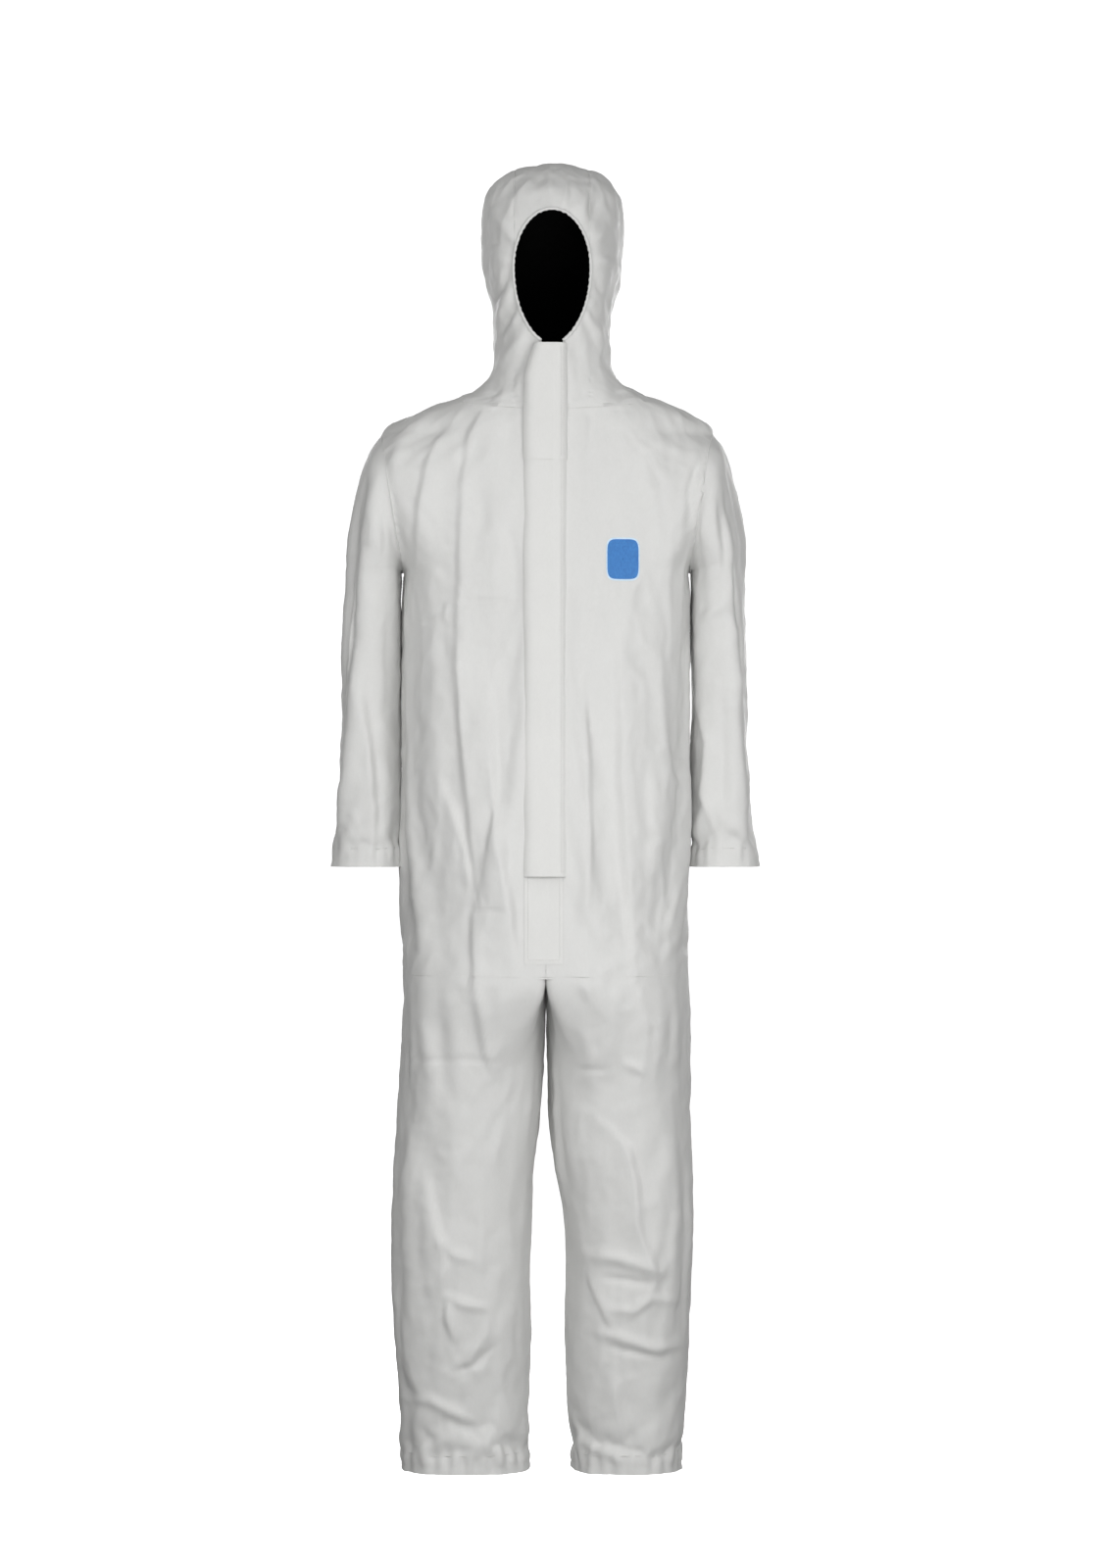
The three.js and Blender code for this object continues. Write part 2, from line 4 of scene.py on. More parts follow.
import bmesh
import bpy
import numpy as np
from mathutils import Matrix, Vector
from mathutils.bvhtree import BVHTree
from mathutils.kdtree import KDTree


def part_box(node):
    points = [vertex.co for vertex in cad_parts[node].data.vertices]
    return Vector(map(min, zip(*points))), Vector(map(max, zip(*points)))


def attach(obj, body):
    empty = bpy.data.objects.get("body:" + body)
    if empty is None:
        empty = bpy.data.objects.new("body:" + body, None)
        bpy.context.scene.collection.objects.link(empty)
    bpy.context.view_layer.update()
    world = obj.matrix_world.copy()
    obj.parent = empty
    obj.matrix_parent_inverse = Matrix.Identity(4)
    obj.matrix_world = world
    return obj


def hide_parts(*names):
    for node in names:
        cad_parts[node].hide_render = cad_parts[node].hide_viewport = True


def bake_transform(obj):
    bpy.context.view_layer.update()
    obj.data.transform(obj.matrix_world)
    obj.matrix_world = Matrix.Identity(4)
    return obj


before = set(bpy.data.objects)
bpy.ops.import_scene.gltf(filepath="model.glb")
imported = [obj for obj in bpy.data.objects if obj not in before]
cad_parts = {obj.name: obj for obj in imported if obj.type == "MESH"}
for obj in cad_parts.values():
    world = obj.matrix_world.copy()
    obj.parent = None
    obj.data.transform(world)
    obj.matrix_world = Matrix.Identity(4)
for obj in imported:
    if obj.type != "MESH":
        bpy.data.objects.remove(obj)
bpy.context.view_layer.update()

# Heights are in millimetres above the leg hems, as in the CAD; the neck ring is the origin.
NECK = 1419.0
SIDES = {"left": 1, "right": -1}


def row(points):
    """Millimetres above the hems to metres in the row frame."""
    out = np.array(points, float) / 1000.0
    out[..., 2] -= NECK / 1000.0
    return out


# ---------------------------------------------------------------- shape of the suit


def smoothstep(t):
    return t * t * (3 - 2 * t)


def smooth(rows):
    """Rows of stations (the first number is the height), joined by smooth curves."""
    table = np.array(rows, float)
    z, v = table[:, 0], table[:, 1:]
    slope = np.diff(v, axis=0) / np.diff(z)[:, None]
    tangent = np.zeros_like(v)
    tangent[1:-1] = (slope[1:] + slope[:-1]) / 2
    tangent[0], tangent[-1] = slope[0], slope[-1]
    turned = slope[1:] * slope[:-1] <= 0
    tangent[1:-1][turned] = 0

    def at(height):
        h = min(max(float(height), z[0]), z[-1])
        i = min(max(int(np.searchsorted(z, h)) - 1, 0), len(z) - 2)
        d = z[i + 1] - z[i]
        t = (h - z[i]) / d
        return (
            v[i] * (2 * t**3 - 3 * t**2 + 1)
            + tangent[i] * d * (t**3 - 2 * t**2 + t)
            + v[i + 1] * (3 * t**2 - 2 * t**3)
            + tangent[i + 1] * d * (t**3 - t**2)
        )

    return at


# height, how far back the back is, and how square the outline is
back_and_power = smooth([
    [600, 108, 2.4], [750, 122, 2.4], [930, 104, 2.4], [1100, 118, 2.5], [1250, 122, 2.4],
    [1330, 106, 2.0], [1374, 86, 1.7], [1405, 76, 1.8], [1440, 72, 2.1], [1480, 84, 2.2],
    [1550, 108, 2.3], [1620, 117, 2.3], [1680, 98, 2.2], [1710, 58, 2.0], [1723, 16, 2.0],
])
trunk_width = smooth([[600, 186.5], [790, 187], [930, 184], [1100, 186], [1185, 188], [1200, 188]])
upper_width = smooth([
    [1350, 232], [1362, 219], [1374, 211], [1390, 178], [1405, 137], [1419, 106], [1436, 84],
    [1460, 75], [1514, 76], [1566, 90], [1602, 95], [1638, 96], [1666, 93], [1693, 82],
    [1713, 58], [1723, 12],
])
hood_front = smooth([
    [1440, -100], [1476, -98], [1520, -101], [1600, -106], [1650, -101], [1690, -76],
    [1712, -40], [1723, -8],
])
ARMPIT, TIP, CHIN, CROTCH = 1185.0, 1362.0, 1476.0, 655.0
ARM_X = 188.0
WAIST = 930.0
STRIP = 49.0  # half the width of the hood's middle panel
SWAY_X = 8.0
LEAN = math.radians(9)
HOLE = 88.0  # half the depth of the armhole
ZIP_LEAN = math.radians(4)
ZIP_Y = -98.0


def zip_y(z):
    """How far forward the zip is at a height; it leans from the chin."""
    return ZIP_Y - (CHIN - z) * math.tan(ZIP_LEAN)


def outline(z):
    """Half width, front, back and roundness of the body and hood at a height."""
    back, power = back_and_power(z)
    front = zip_y(z) if z < CHIN else hood_front(z)[0]
    if z <= ARMPIT:
        return trunk_width(z)[0], front, back, power
    if z >= TIP:
        return upper_width(z)[0], front, back, power
    along = 2 * (z - ARMPIT) / (TIP - ARMPIT) - 1
    hole = HOLE * math.sqrt(1 - along * along)
    reach = (1 - (hole / ((back - front) / 2)) ** power) ** (1 / power)
    return (ARM_X + (z - ARMPIT) * math.tan(LEAN)) / reach, front, back, power


def bend(value, power):
    return np.sign(value) * np.abs(value) ** (2 / power)


def half_ring(z, slot, count):
    """The left half of the body's outline, from beside the front opening round to the back."""
    half, front, back, power = outline(z)
    turn = np.linspace(-math.pi / 2, math.pi / 2, 721)
    x = half * bend(np.cos(turn), power)
    y = (front + back) / 2 + (back - front) / 2 * bend(np.sin(turn), power)
    x[0] = x[-1] = 0.0
    run = np.concatenate([[0], np.cumsum(np.hypot(np.diff(x), np.diff(y)))])
    start = np.interp(slot, x[:200], run[:200])
    side = np.interp(-5.0, y, run)
    first, second = count
    stations = np.concatenate([
        np.linspace(start, side, first + 1)[:-1],
        np.linspace(side, run[-1], second + 1),
    ])
    return np.stack([np.interp(stations, run, x), np.interp(stations, run, y)], axis=1)


def body_rings(heights, slot_at, count):
    rings = []
    for z in heights:
        half = half_ring(z, slot_at(z), count)
        left = np.column_stack([half, np.full(len(half), z)])
        right = left[::-1][1:] * [-1, 1, 1]
        rings.append(np.concatenate([left, right]))
    return np.array(rings)


def quads(rows, columns, closed):
    across = columns if closed else columns - 1
    i, j = np.meshgrid(np.arange(rows - 1), np.arange(across), indexing="ij")
    a = i * columns + j
    b = i * columns + (j + 1) % columns
    return np.stack([a, b, b + columns, a + columns], axis=-1).reshape(-1, 4)


def band(z, middle, half):
    return np.exp(-(((z - middle) / half) ** 2))


def sway(points):
    """The hood and neck stand a little to the wearer's left, and the left shoulder is the wider."""
    x, z = points[..., 0], points[..., 2]
    out = points.copy()
    out[..., 0] += SWAY_X * smoothstep(np.clip((z - 1330.0) / 110.0, 0, 1))
    left = 17 * band(z, 1404, 27) * np.clip((x - 45) / 90.0, 0, 1)
    right = 8 * band(z, 1402, 32) * np.clip((-x - 45) / 90.0, 0, 1)
    out[..., 0] += left - right
    return out


# ---------------------------------------------------------------- skins

STEP = 8.0
SLEEVE_JOINS = [ARMPIT, 1115.0, 980.0, 819.0, 795.0]
LEG_JOINS = [CROTCH, 558.0, 500.0, 300.0, 25.0, 1.0]


def heights_between(joins):
    """Heights of the rings, with one at each join between two pieces."""
    out = [joins[0]]
    for top, foot in zip(joins, joins[1:]):
        out += list(np.linspace(top, foot, max(2, round((top - foot) / STEP)) + 1)[1:])
    return np.array(out)


class Skin:
    """A grid of points. part gives each face's piece, twice its number, plus 1 on the back half."""

    def __init__(self, name, points, closed, part):
        self.name = name
        self.rows, self.columns = points.shape[:2]
        self.grid = points
        self.faces = quads(self.rows, self.columns, closed)
        across = self.columns if closed else self.columns - 1
        i, j = np.meshgrid(np.arange(self.rows - 1), np.arange(across), indexing="ij")
        centre = points.reshape(-1, 3)[self.faces].mean(axis=1)
        self.part = part(i.ravel(), j.ravel(), centre)


def trunk_skin():
    heights = np.linspace(CROTCH, 1500.0, int(845 / STEP) + 1)

    def slot_at(z):
        return float(np.interp(z, [745.0, 760.0], [0.15, 9.0]))

    first, second = int(300 / STEP), int(290 / STEP)

    def part(i, j, centre):
        quarter = np.digitize(j, [first, first + second, first + 2 * second])
        return 2 * np.array([0, 2, 3, 1])[quarter]

    return Skin("trunk", body_rings(heights, slot_at, (first, second)), False, part)


def hood_heights():
    z = np.linspace(1380, 1722.9, 900)
    shape = np.array([outline(h) for h in z])
    length = np.sqrt(
        np.diff(z) ** 2
        + np.maximum(np.abs(np.diff(shape[:, 0])), np.abs(np.diff((shape[:, 2] - shape[:, 1]) / 2))) ** 2
    )
    run = np.concatenate([[0], np.cumsum(length)])
    return np.interp(np.linspace(0, run[-1], int(run[-1] / (STEP * 0.85))), run, z)


def hood_skin():
    def slot_at(z):
        return float(np.interp(z, [1500.0, 1600.0], [9.0, 0.0]))

    def part(i, j, centre):
        return 2 * (centre[:, 2] > 1458).astype(int)

    return Skin("hood", body_rings(hood_heights(), slot_at, (int(210 / STEP), int(190 / STEP))), False, part)


sleeve_line = {
    "left": smooth([
        [780, -5, 42, 281], [794, -5, 43, 280], [853, 0, 47, 271], [903, 2, 50, 269],
        [1030, 8, 58, 265], [1130, 7, 66, 257], [1185, 4, 72, 256],
    ]),
    "right": smooth([
        [780, -5, 42, 283], [794, -5, 43, 282], [853, 0, 47, 276], [903, 2, 50, 273],
        [1030, 8, 58, 267], [1130, 7, 66, 261], [1185, 4, 72, 257],
    ]),
}
head_reach = smooth([[0, 179.2], [11, 152], [22, 122], [40, 89], [60, 73], [81, 65]])
sleeve_inner = smooth([[780, 188], [840, 192], [1000, 190.5], [1185, 190.8]])


def sleeve_skin(name, side):
    columns = int(340 / STEP)
    turn = 2 * math.pi * (np.arange(columns) + 0.5) / columns
    rings = []
    head_rows = int(190 / STEP) - 1
    for fan in np.linspace(0, 81, head_rows + 1)[:-1]:
        lean = LEAN + math.radians(fan)
        share = fan / 81.0
        across = head_reach(fan)[0] / 2
        out = across + across * np.cos(turn) + share * 2.8
        z = ARMPIT + out * math.cos(lean)
        middle = np.array([(outline(h)[1] + outline(h)[2]) / 2 for h in z])
        depth = HOLE + (72 - HOLE) * share
        y = middle * (1 - share) + 4 * share + depth * np.sin(turn)
        rings.append(np.column_stack([side * (ARM_X + out * math.sin(lean)), y, z]))
    for z in heights_between(SLEEVE_JOINS):
        middle, depth, outer = sleeve_line[name](z)
        inner = sleeve_inner(z)[0]
        half = (outer - inner) / 2
        rings.append(np.column_stack([
            side * (inner + half + half * bend(np.cos(turn), 2.2)),
            middle + depth * bend(np.sin(turn), 2.2),
            np.full(columns, z),
        ]))
    points = np.array(rings)
    points = points if side < 0 else points[:, ::-1]

    def part(i, j, centre):
        piece = np.digitize(-centre[:, 2], [-z for z in SLEEVE_JOINS[1:]])
        piece = np.where(i < head_rows, 0, piece + 1)
        return 2 * piece + (np.sin(2 * np.pi * (j + 1) / columns) * side > 0)

    return Skin(f"{name}_sleeve", points, True, part)


leg_line = {
    "left": smooth([
        [0, 106, 68, 0, 72], [79, 106, 71.8, 0, 76], [142, 106, 75.5, -2, 82], [269, 110.4, 78.6, -8, 90],
        [320, 110.5, 80, -9, 91], [371, 106.6, 82.5, -10, 93], [421, 98.7, 88.5, -12, 96],
        [500, 96, 93, -14, 101], [575, 95.4, 93.5, -18, 115], [655, 94.5, 92.5, -21.5, 132],
    ]),
    "right": smooth([
        [0, 105, 81, 0, 74], [91, 107.9, 80.6, 0, 77], [142, 109.8, 85, -2, 82], [269, 113, 87.4, -8, 90],
        [320, 112, 87.4, -9, 91], [396, 109.2, 87.6, -11, 95], [498, 98, 94.6, -14, 101],
        [545, 96.5, 94.6, -16, 109], [655, 94.5, 92.5, -21.5, 132],
    ]),
}


def leg_skin(name, side):
    columns = int(600 / STEP)
    phi = 2 * math.pi * (np.arange(720) + 0.5) / 720
    rings = []
    for z in heights_between(LEG_JOINS):
        x, half, middle, depth = leg_line[name](z)
        cos, sin = np.cos(phi), np.sin(phi)
        power = 2.3
        oval = (np.abs(cos / half) ** power + np.abs(sin / depth) ** power) ** (-1 / power)
        width, front, back, body_power = outline(CROTCH)
        low, high = np.zeros_like(phi), np.full_like(phi, 400.0)
        for _ in range(40):
            r = (low + high) / 2
            inside = (
                np.abs((x + r * cos) / width) ** body_power
                + np.abs((middle + r * sin - (front + back) / 2) / ((back - front) / 2)) ** body_power
            ) < 1
            low, high = np.where(inside, r, low), np.where(inside, high, r)
        to_middle = np.where(cos < 0, (x - 1.2) / np.maximum(-cos, 1e-6), 1e9)
        half_body = np.minimum(low, to_middle)
        share = smoothstep(np.clip((z - 540) / 115, 0, 1))
        radius = np.minimum(half_body * share + oval * (1 - share), to_middle)
        px, py = x + radius * cos, middle + radius * sin
        px, py = np.append(px, px[0]), np.append(py, py[0])
        run = np.concatenate([[0], np.cumsum(np.hypot(np.diff(px), np.diff(py)))])
        stations = np.linspace(0, run[-1], columns + 1)[:-1]
        rings.append(np.column_stack([
            side * np.interp(stations, run, px),
            np.interp(stations, run, py),
            np.full(columns, z),
        ]))
    points = np.array(rings)
    points = points if side < 0 else points[:, ::-1]

    def part(i, j, centre):
        piece = np.digitize(-centre[:, 2], [-z for z in LEG_JOINS[1:]])
        return 2 * piece + (centre[:, 1] > -5)

    return Skin(f"{name}_leg", points, True, part)


skins = [trunk_skin(), hood_skin()]
for side_name, side_sign in SIDES.items():
    skins.append(sleeve_skin(side_name, side_sign))
    skins.append(leg_skin(side_name, side_sign))


def mesh_object(name, vertices, faces):
    mesh = bpy.data.meshes.new(name)
    mesh.from_pydata([tuple(v) for v in vertices], [], [tuple(int(i) for i in f) for f in faces])
    mesh.update()
    obj = bpy.data.objects.new(name, mesh)
    bpy.context.scene.collection.objects.link(obj)
    return obj


def coordinates(obj):
    co = np.empty(len(obj.data.vertices) * 3)
    obj.data.vertices.foreach_get("co", co)
    return co.reshape(-1, 3)


def place(obj, co):
    obj.data.vertices.foreach_set("co", np.asarray(co, float).ravel())
    obj.data.update()


@contextmanager
def editing(obj):
    """The object's mesh, open for changes."""
    bm = bmesh.new()
    bm.from_mesh(obj.data)
    yield bm
    bm.to_mesh(obj.data)
    bm.free()


def tree_of(points):
    tree = KDTree(len(points))
    for i, point in enumerate(points):
        tree.insert(point, i)
    tree.balance()
    return tree


def smooth_shaded(obj):
    for p in obj.data.polygons:
        p.use_smooth = True
    return obj


def grid_faces(grid, closed=False):
    return [tuple(int(i) for i in f) for f in quads(*grid.shape[:2], closed)]


def cut(bm, point, normal):
    """Cut the mesh with a plane, and drop what is past it."""
    bmesh.ops.bisect_plane(
        bm, geom=bm.verts[:] + bm.edges[:] + bm.faces[:], dist=1e-6,
        plane_co=Vector(point) / 1000 - Vector((0, 0, NECK / 1000)), plane_no=Vector(normal),
        clear_outer=True,
    )


NECK_NORMAL = (0, -math.sin(math.radians(16)), math.cos(math.radians(16)))
NECK_POINT = (0, -10, 1419)


FACE_X, FACE_Z, FACE_HALF, FACE_UP, FACE_DOWN = 0.0, 1577.0, 50.0, 75.0, 100.0


def oval_polar(x, z):
    """How far out of the face opening a point is (1 on the rim)."""
    dz = np.where(z > FACE_Z, (z - FACE_Z) / FACE_UP, (z - FACE_Z) / FACE_DOWN)
    squeeze = 1 - 0.10 * np.clip(-dz, 0, 1) ** 3
    return np.hypot((x - FACE_X) / (FACE_HALF * squeeze), dz)


def cut_armholes(bm):
    """Only the part above the armpit is cut by the armhole's plane."""
    for side in (1, -1):
        above = [f for f in bm.faces if f.calc_center_median().z * 1000 + NECK > ARMPIT - 2
                 and f.calc_center_median().x * side > 0.1]
        # in a fixed order, so that every run cuts the same mesh
        geom = above + list(dict.fromkeys(v for f in above for v in f.verts))
        geom += list(dict.fromkeys(e for f in above for e in f.edges))
        bmesh.ops.bisect_plane(
            bm, geom=geom, dist=1e-6,
            plane_co=Vector((side * ARM_X, 0, ARMPIT - NECK)) / 1000,
            plane_no=Vector((side * math.cos(LEAN), 0, -math.sin(LEAN))),
            clear_outer=True,
        )


def open_face(bm):
    """The face opening, with its rim moved onto the oval."""
    def far_out(v):
        return float(oval_polar(np.array(v.x * 1000), np.array(v.z * 1000 + NECK)))

    inside = [f for f in bm.faces if f.calc_center_median().y < 0 and far_out(f.calc_center_median()) < 1.03]
    bmesh.ops.delete(bm, geom=inside, context="FACES")
    for v in bm.verts:
        if not v.is_boundary or v.co.y > 0:
            continue
        x, z = v.co.x * 1000, v.co.z * 1000 + NECK
        far = far_out(v.co)
        if far < 1.35 and z > CHIN + 1:
            v.co.x = (FACE_X + (x - FACE_X) / far) / 1000
            v.co.z = (FACE_Z + (z - FACE_Z) / far - NECK) / 1000
    near = [v for v in bm.verts if not v.is_boundary and v.co.y < 0 and far_out(v.co) < 1.5]
    for _ in range(4):
        bmesh.ops.smooth_vert(bm, verts=near, factor=0.5, use_axis_x=True, use_axis_y=False, use_axis_z=True)


def close_crown(bm):
    """The crown is closed over the last row."""
    ring = [e for e in bm.edges if e.is_boundary and min(v.co.z for v in e.verts) * 1000 + NECK > 1721.5]
    ends = list(dict.fromkeys(v for e in ring for v in e.verts))
    middle = sum((v.co for v in ends), Vector()) / len(ends)
    inside = [bm.verts.new(middle + (v.co - middle) * 0.5 + Vector((0, 0, 0.0004))) for v in ends]
    inside = dict(zip(ends, inside))
    pole = bm.verts.new(middle + Vector((0, 0, 0.0006)))
    for e in ring:
        a, b = e.verts
        for face in ((a, b, inside[b], inside[a]), (inside[a], inside[b], pole)):
            bm.faces.new(face).material_index = 2


def face_outwards(bm):
    centre = np.mean([v.co for v in bm.verts], axis=0)
    out = sum((f.calc_center_median() - Vector(centre)).to_2d().dot(f.normal.to_2d()) for f in bm.faces)
    if out < 0:
        bmesh.ops.reverse_faces(bm, faces=bm.faces[:])


def build(skin):
    obj = mesh_object(skin.name, row(skin.grid.reshape(-1, 3)), skin.faces)
    for _ in range(12):
        obj.data.materials.append(None)
    obj.data.polygons.foreach_set("material_index", skin.part.astype(np.int32))
    with editing(obj) as bm:
        if skin.name == "trunk":
            cut(bm, NECK_POINT, NECK_NORMAL)
            cut_armholes(bm)
        if skin.name == "hood":
            cut(bm, NECK_POINT, [-n for n in NECK_NORMAL])
            bmesh.ops.remove_doubles(bm, verts=bm.verts[:], dist=0.0012)
            open_face(bm)
            close_crown(bm)
        bmesh.ops.delete(bm, geom=[v for v in bm.verts if not v.link_faces], context="VERTS")
        bmesh.ops.recalc_face_normals(bm, faces=bm.faces[:])
    return obj


objects = {skin.name: build(skin) for skin in skins}
for obj in objects.values():
    place(obj, row(sway(coordinates(obj) * 1000 + [0, 0, NECK])))
    with editing(obj) as bm:
        face_outwards(bm)


def normals(obj):
    n = np.empty(len(obj.data.vertices) * 3)
    obj.data.vertex_normals.foreach_get("vector", n)
    return n.reshape(-1, 3)


def gradient_noise(points, seed):
    """Smooth noise at each point, about -1 to 1."""
    cell = np.floor(points).astype(np.int64)
    part = points - cell
    ease = part * part * part * (part * (part * 6 - 15) + 10)
    total = np.zeros(len(points))
    for corner in range(8):
        step = np.array([corner & 1, corner >> 1 & 1, corner >> 2 & 1])
        key = (cell + step) @ np.array([73856093, 19349663, 83492791]) + seed * 2654435761
        key = (key ^ (key >> 13)) * 1274126177 & 0x7FFFFFFF
        key = (key ^ (key >> 11)) * 668265263 & 0x7FFFFFFF
        turn, rise = (key & 1023) * (2 * np.pi / 1024), ((key >> 10) & 1023) / 511.5 - 1
        flat = np.sqrt(1 - np.clip(rise * rise, 0, 1))
        way = np.stack([flat * np.cos(turn), flat * np.sin(turn), rise], axis=1)
        weight = np.prod(np.where(step, ease, 1 - ease), axis=1)
        total += weight * ((part - step) * way).sum(axis=1)
    return total * 1.6


def wobble(co, scale, seed, octaves=3):
    total, size = np.zeros(len(co)), 1.0
    for octave in range(octaves):
        total += size * gradient_noise(np.asarray(co) * scale + seed * 7.31 + octave * 3.7, seed + octave)
        scale, size = scale * 2, size / 2
    return total
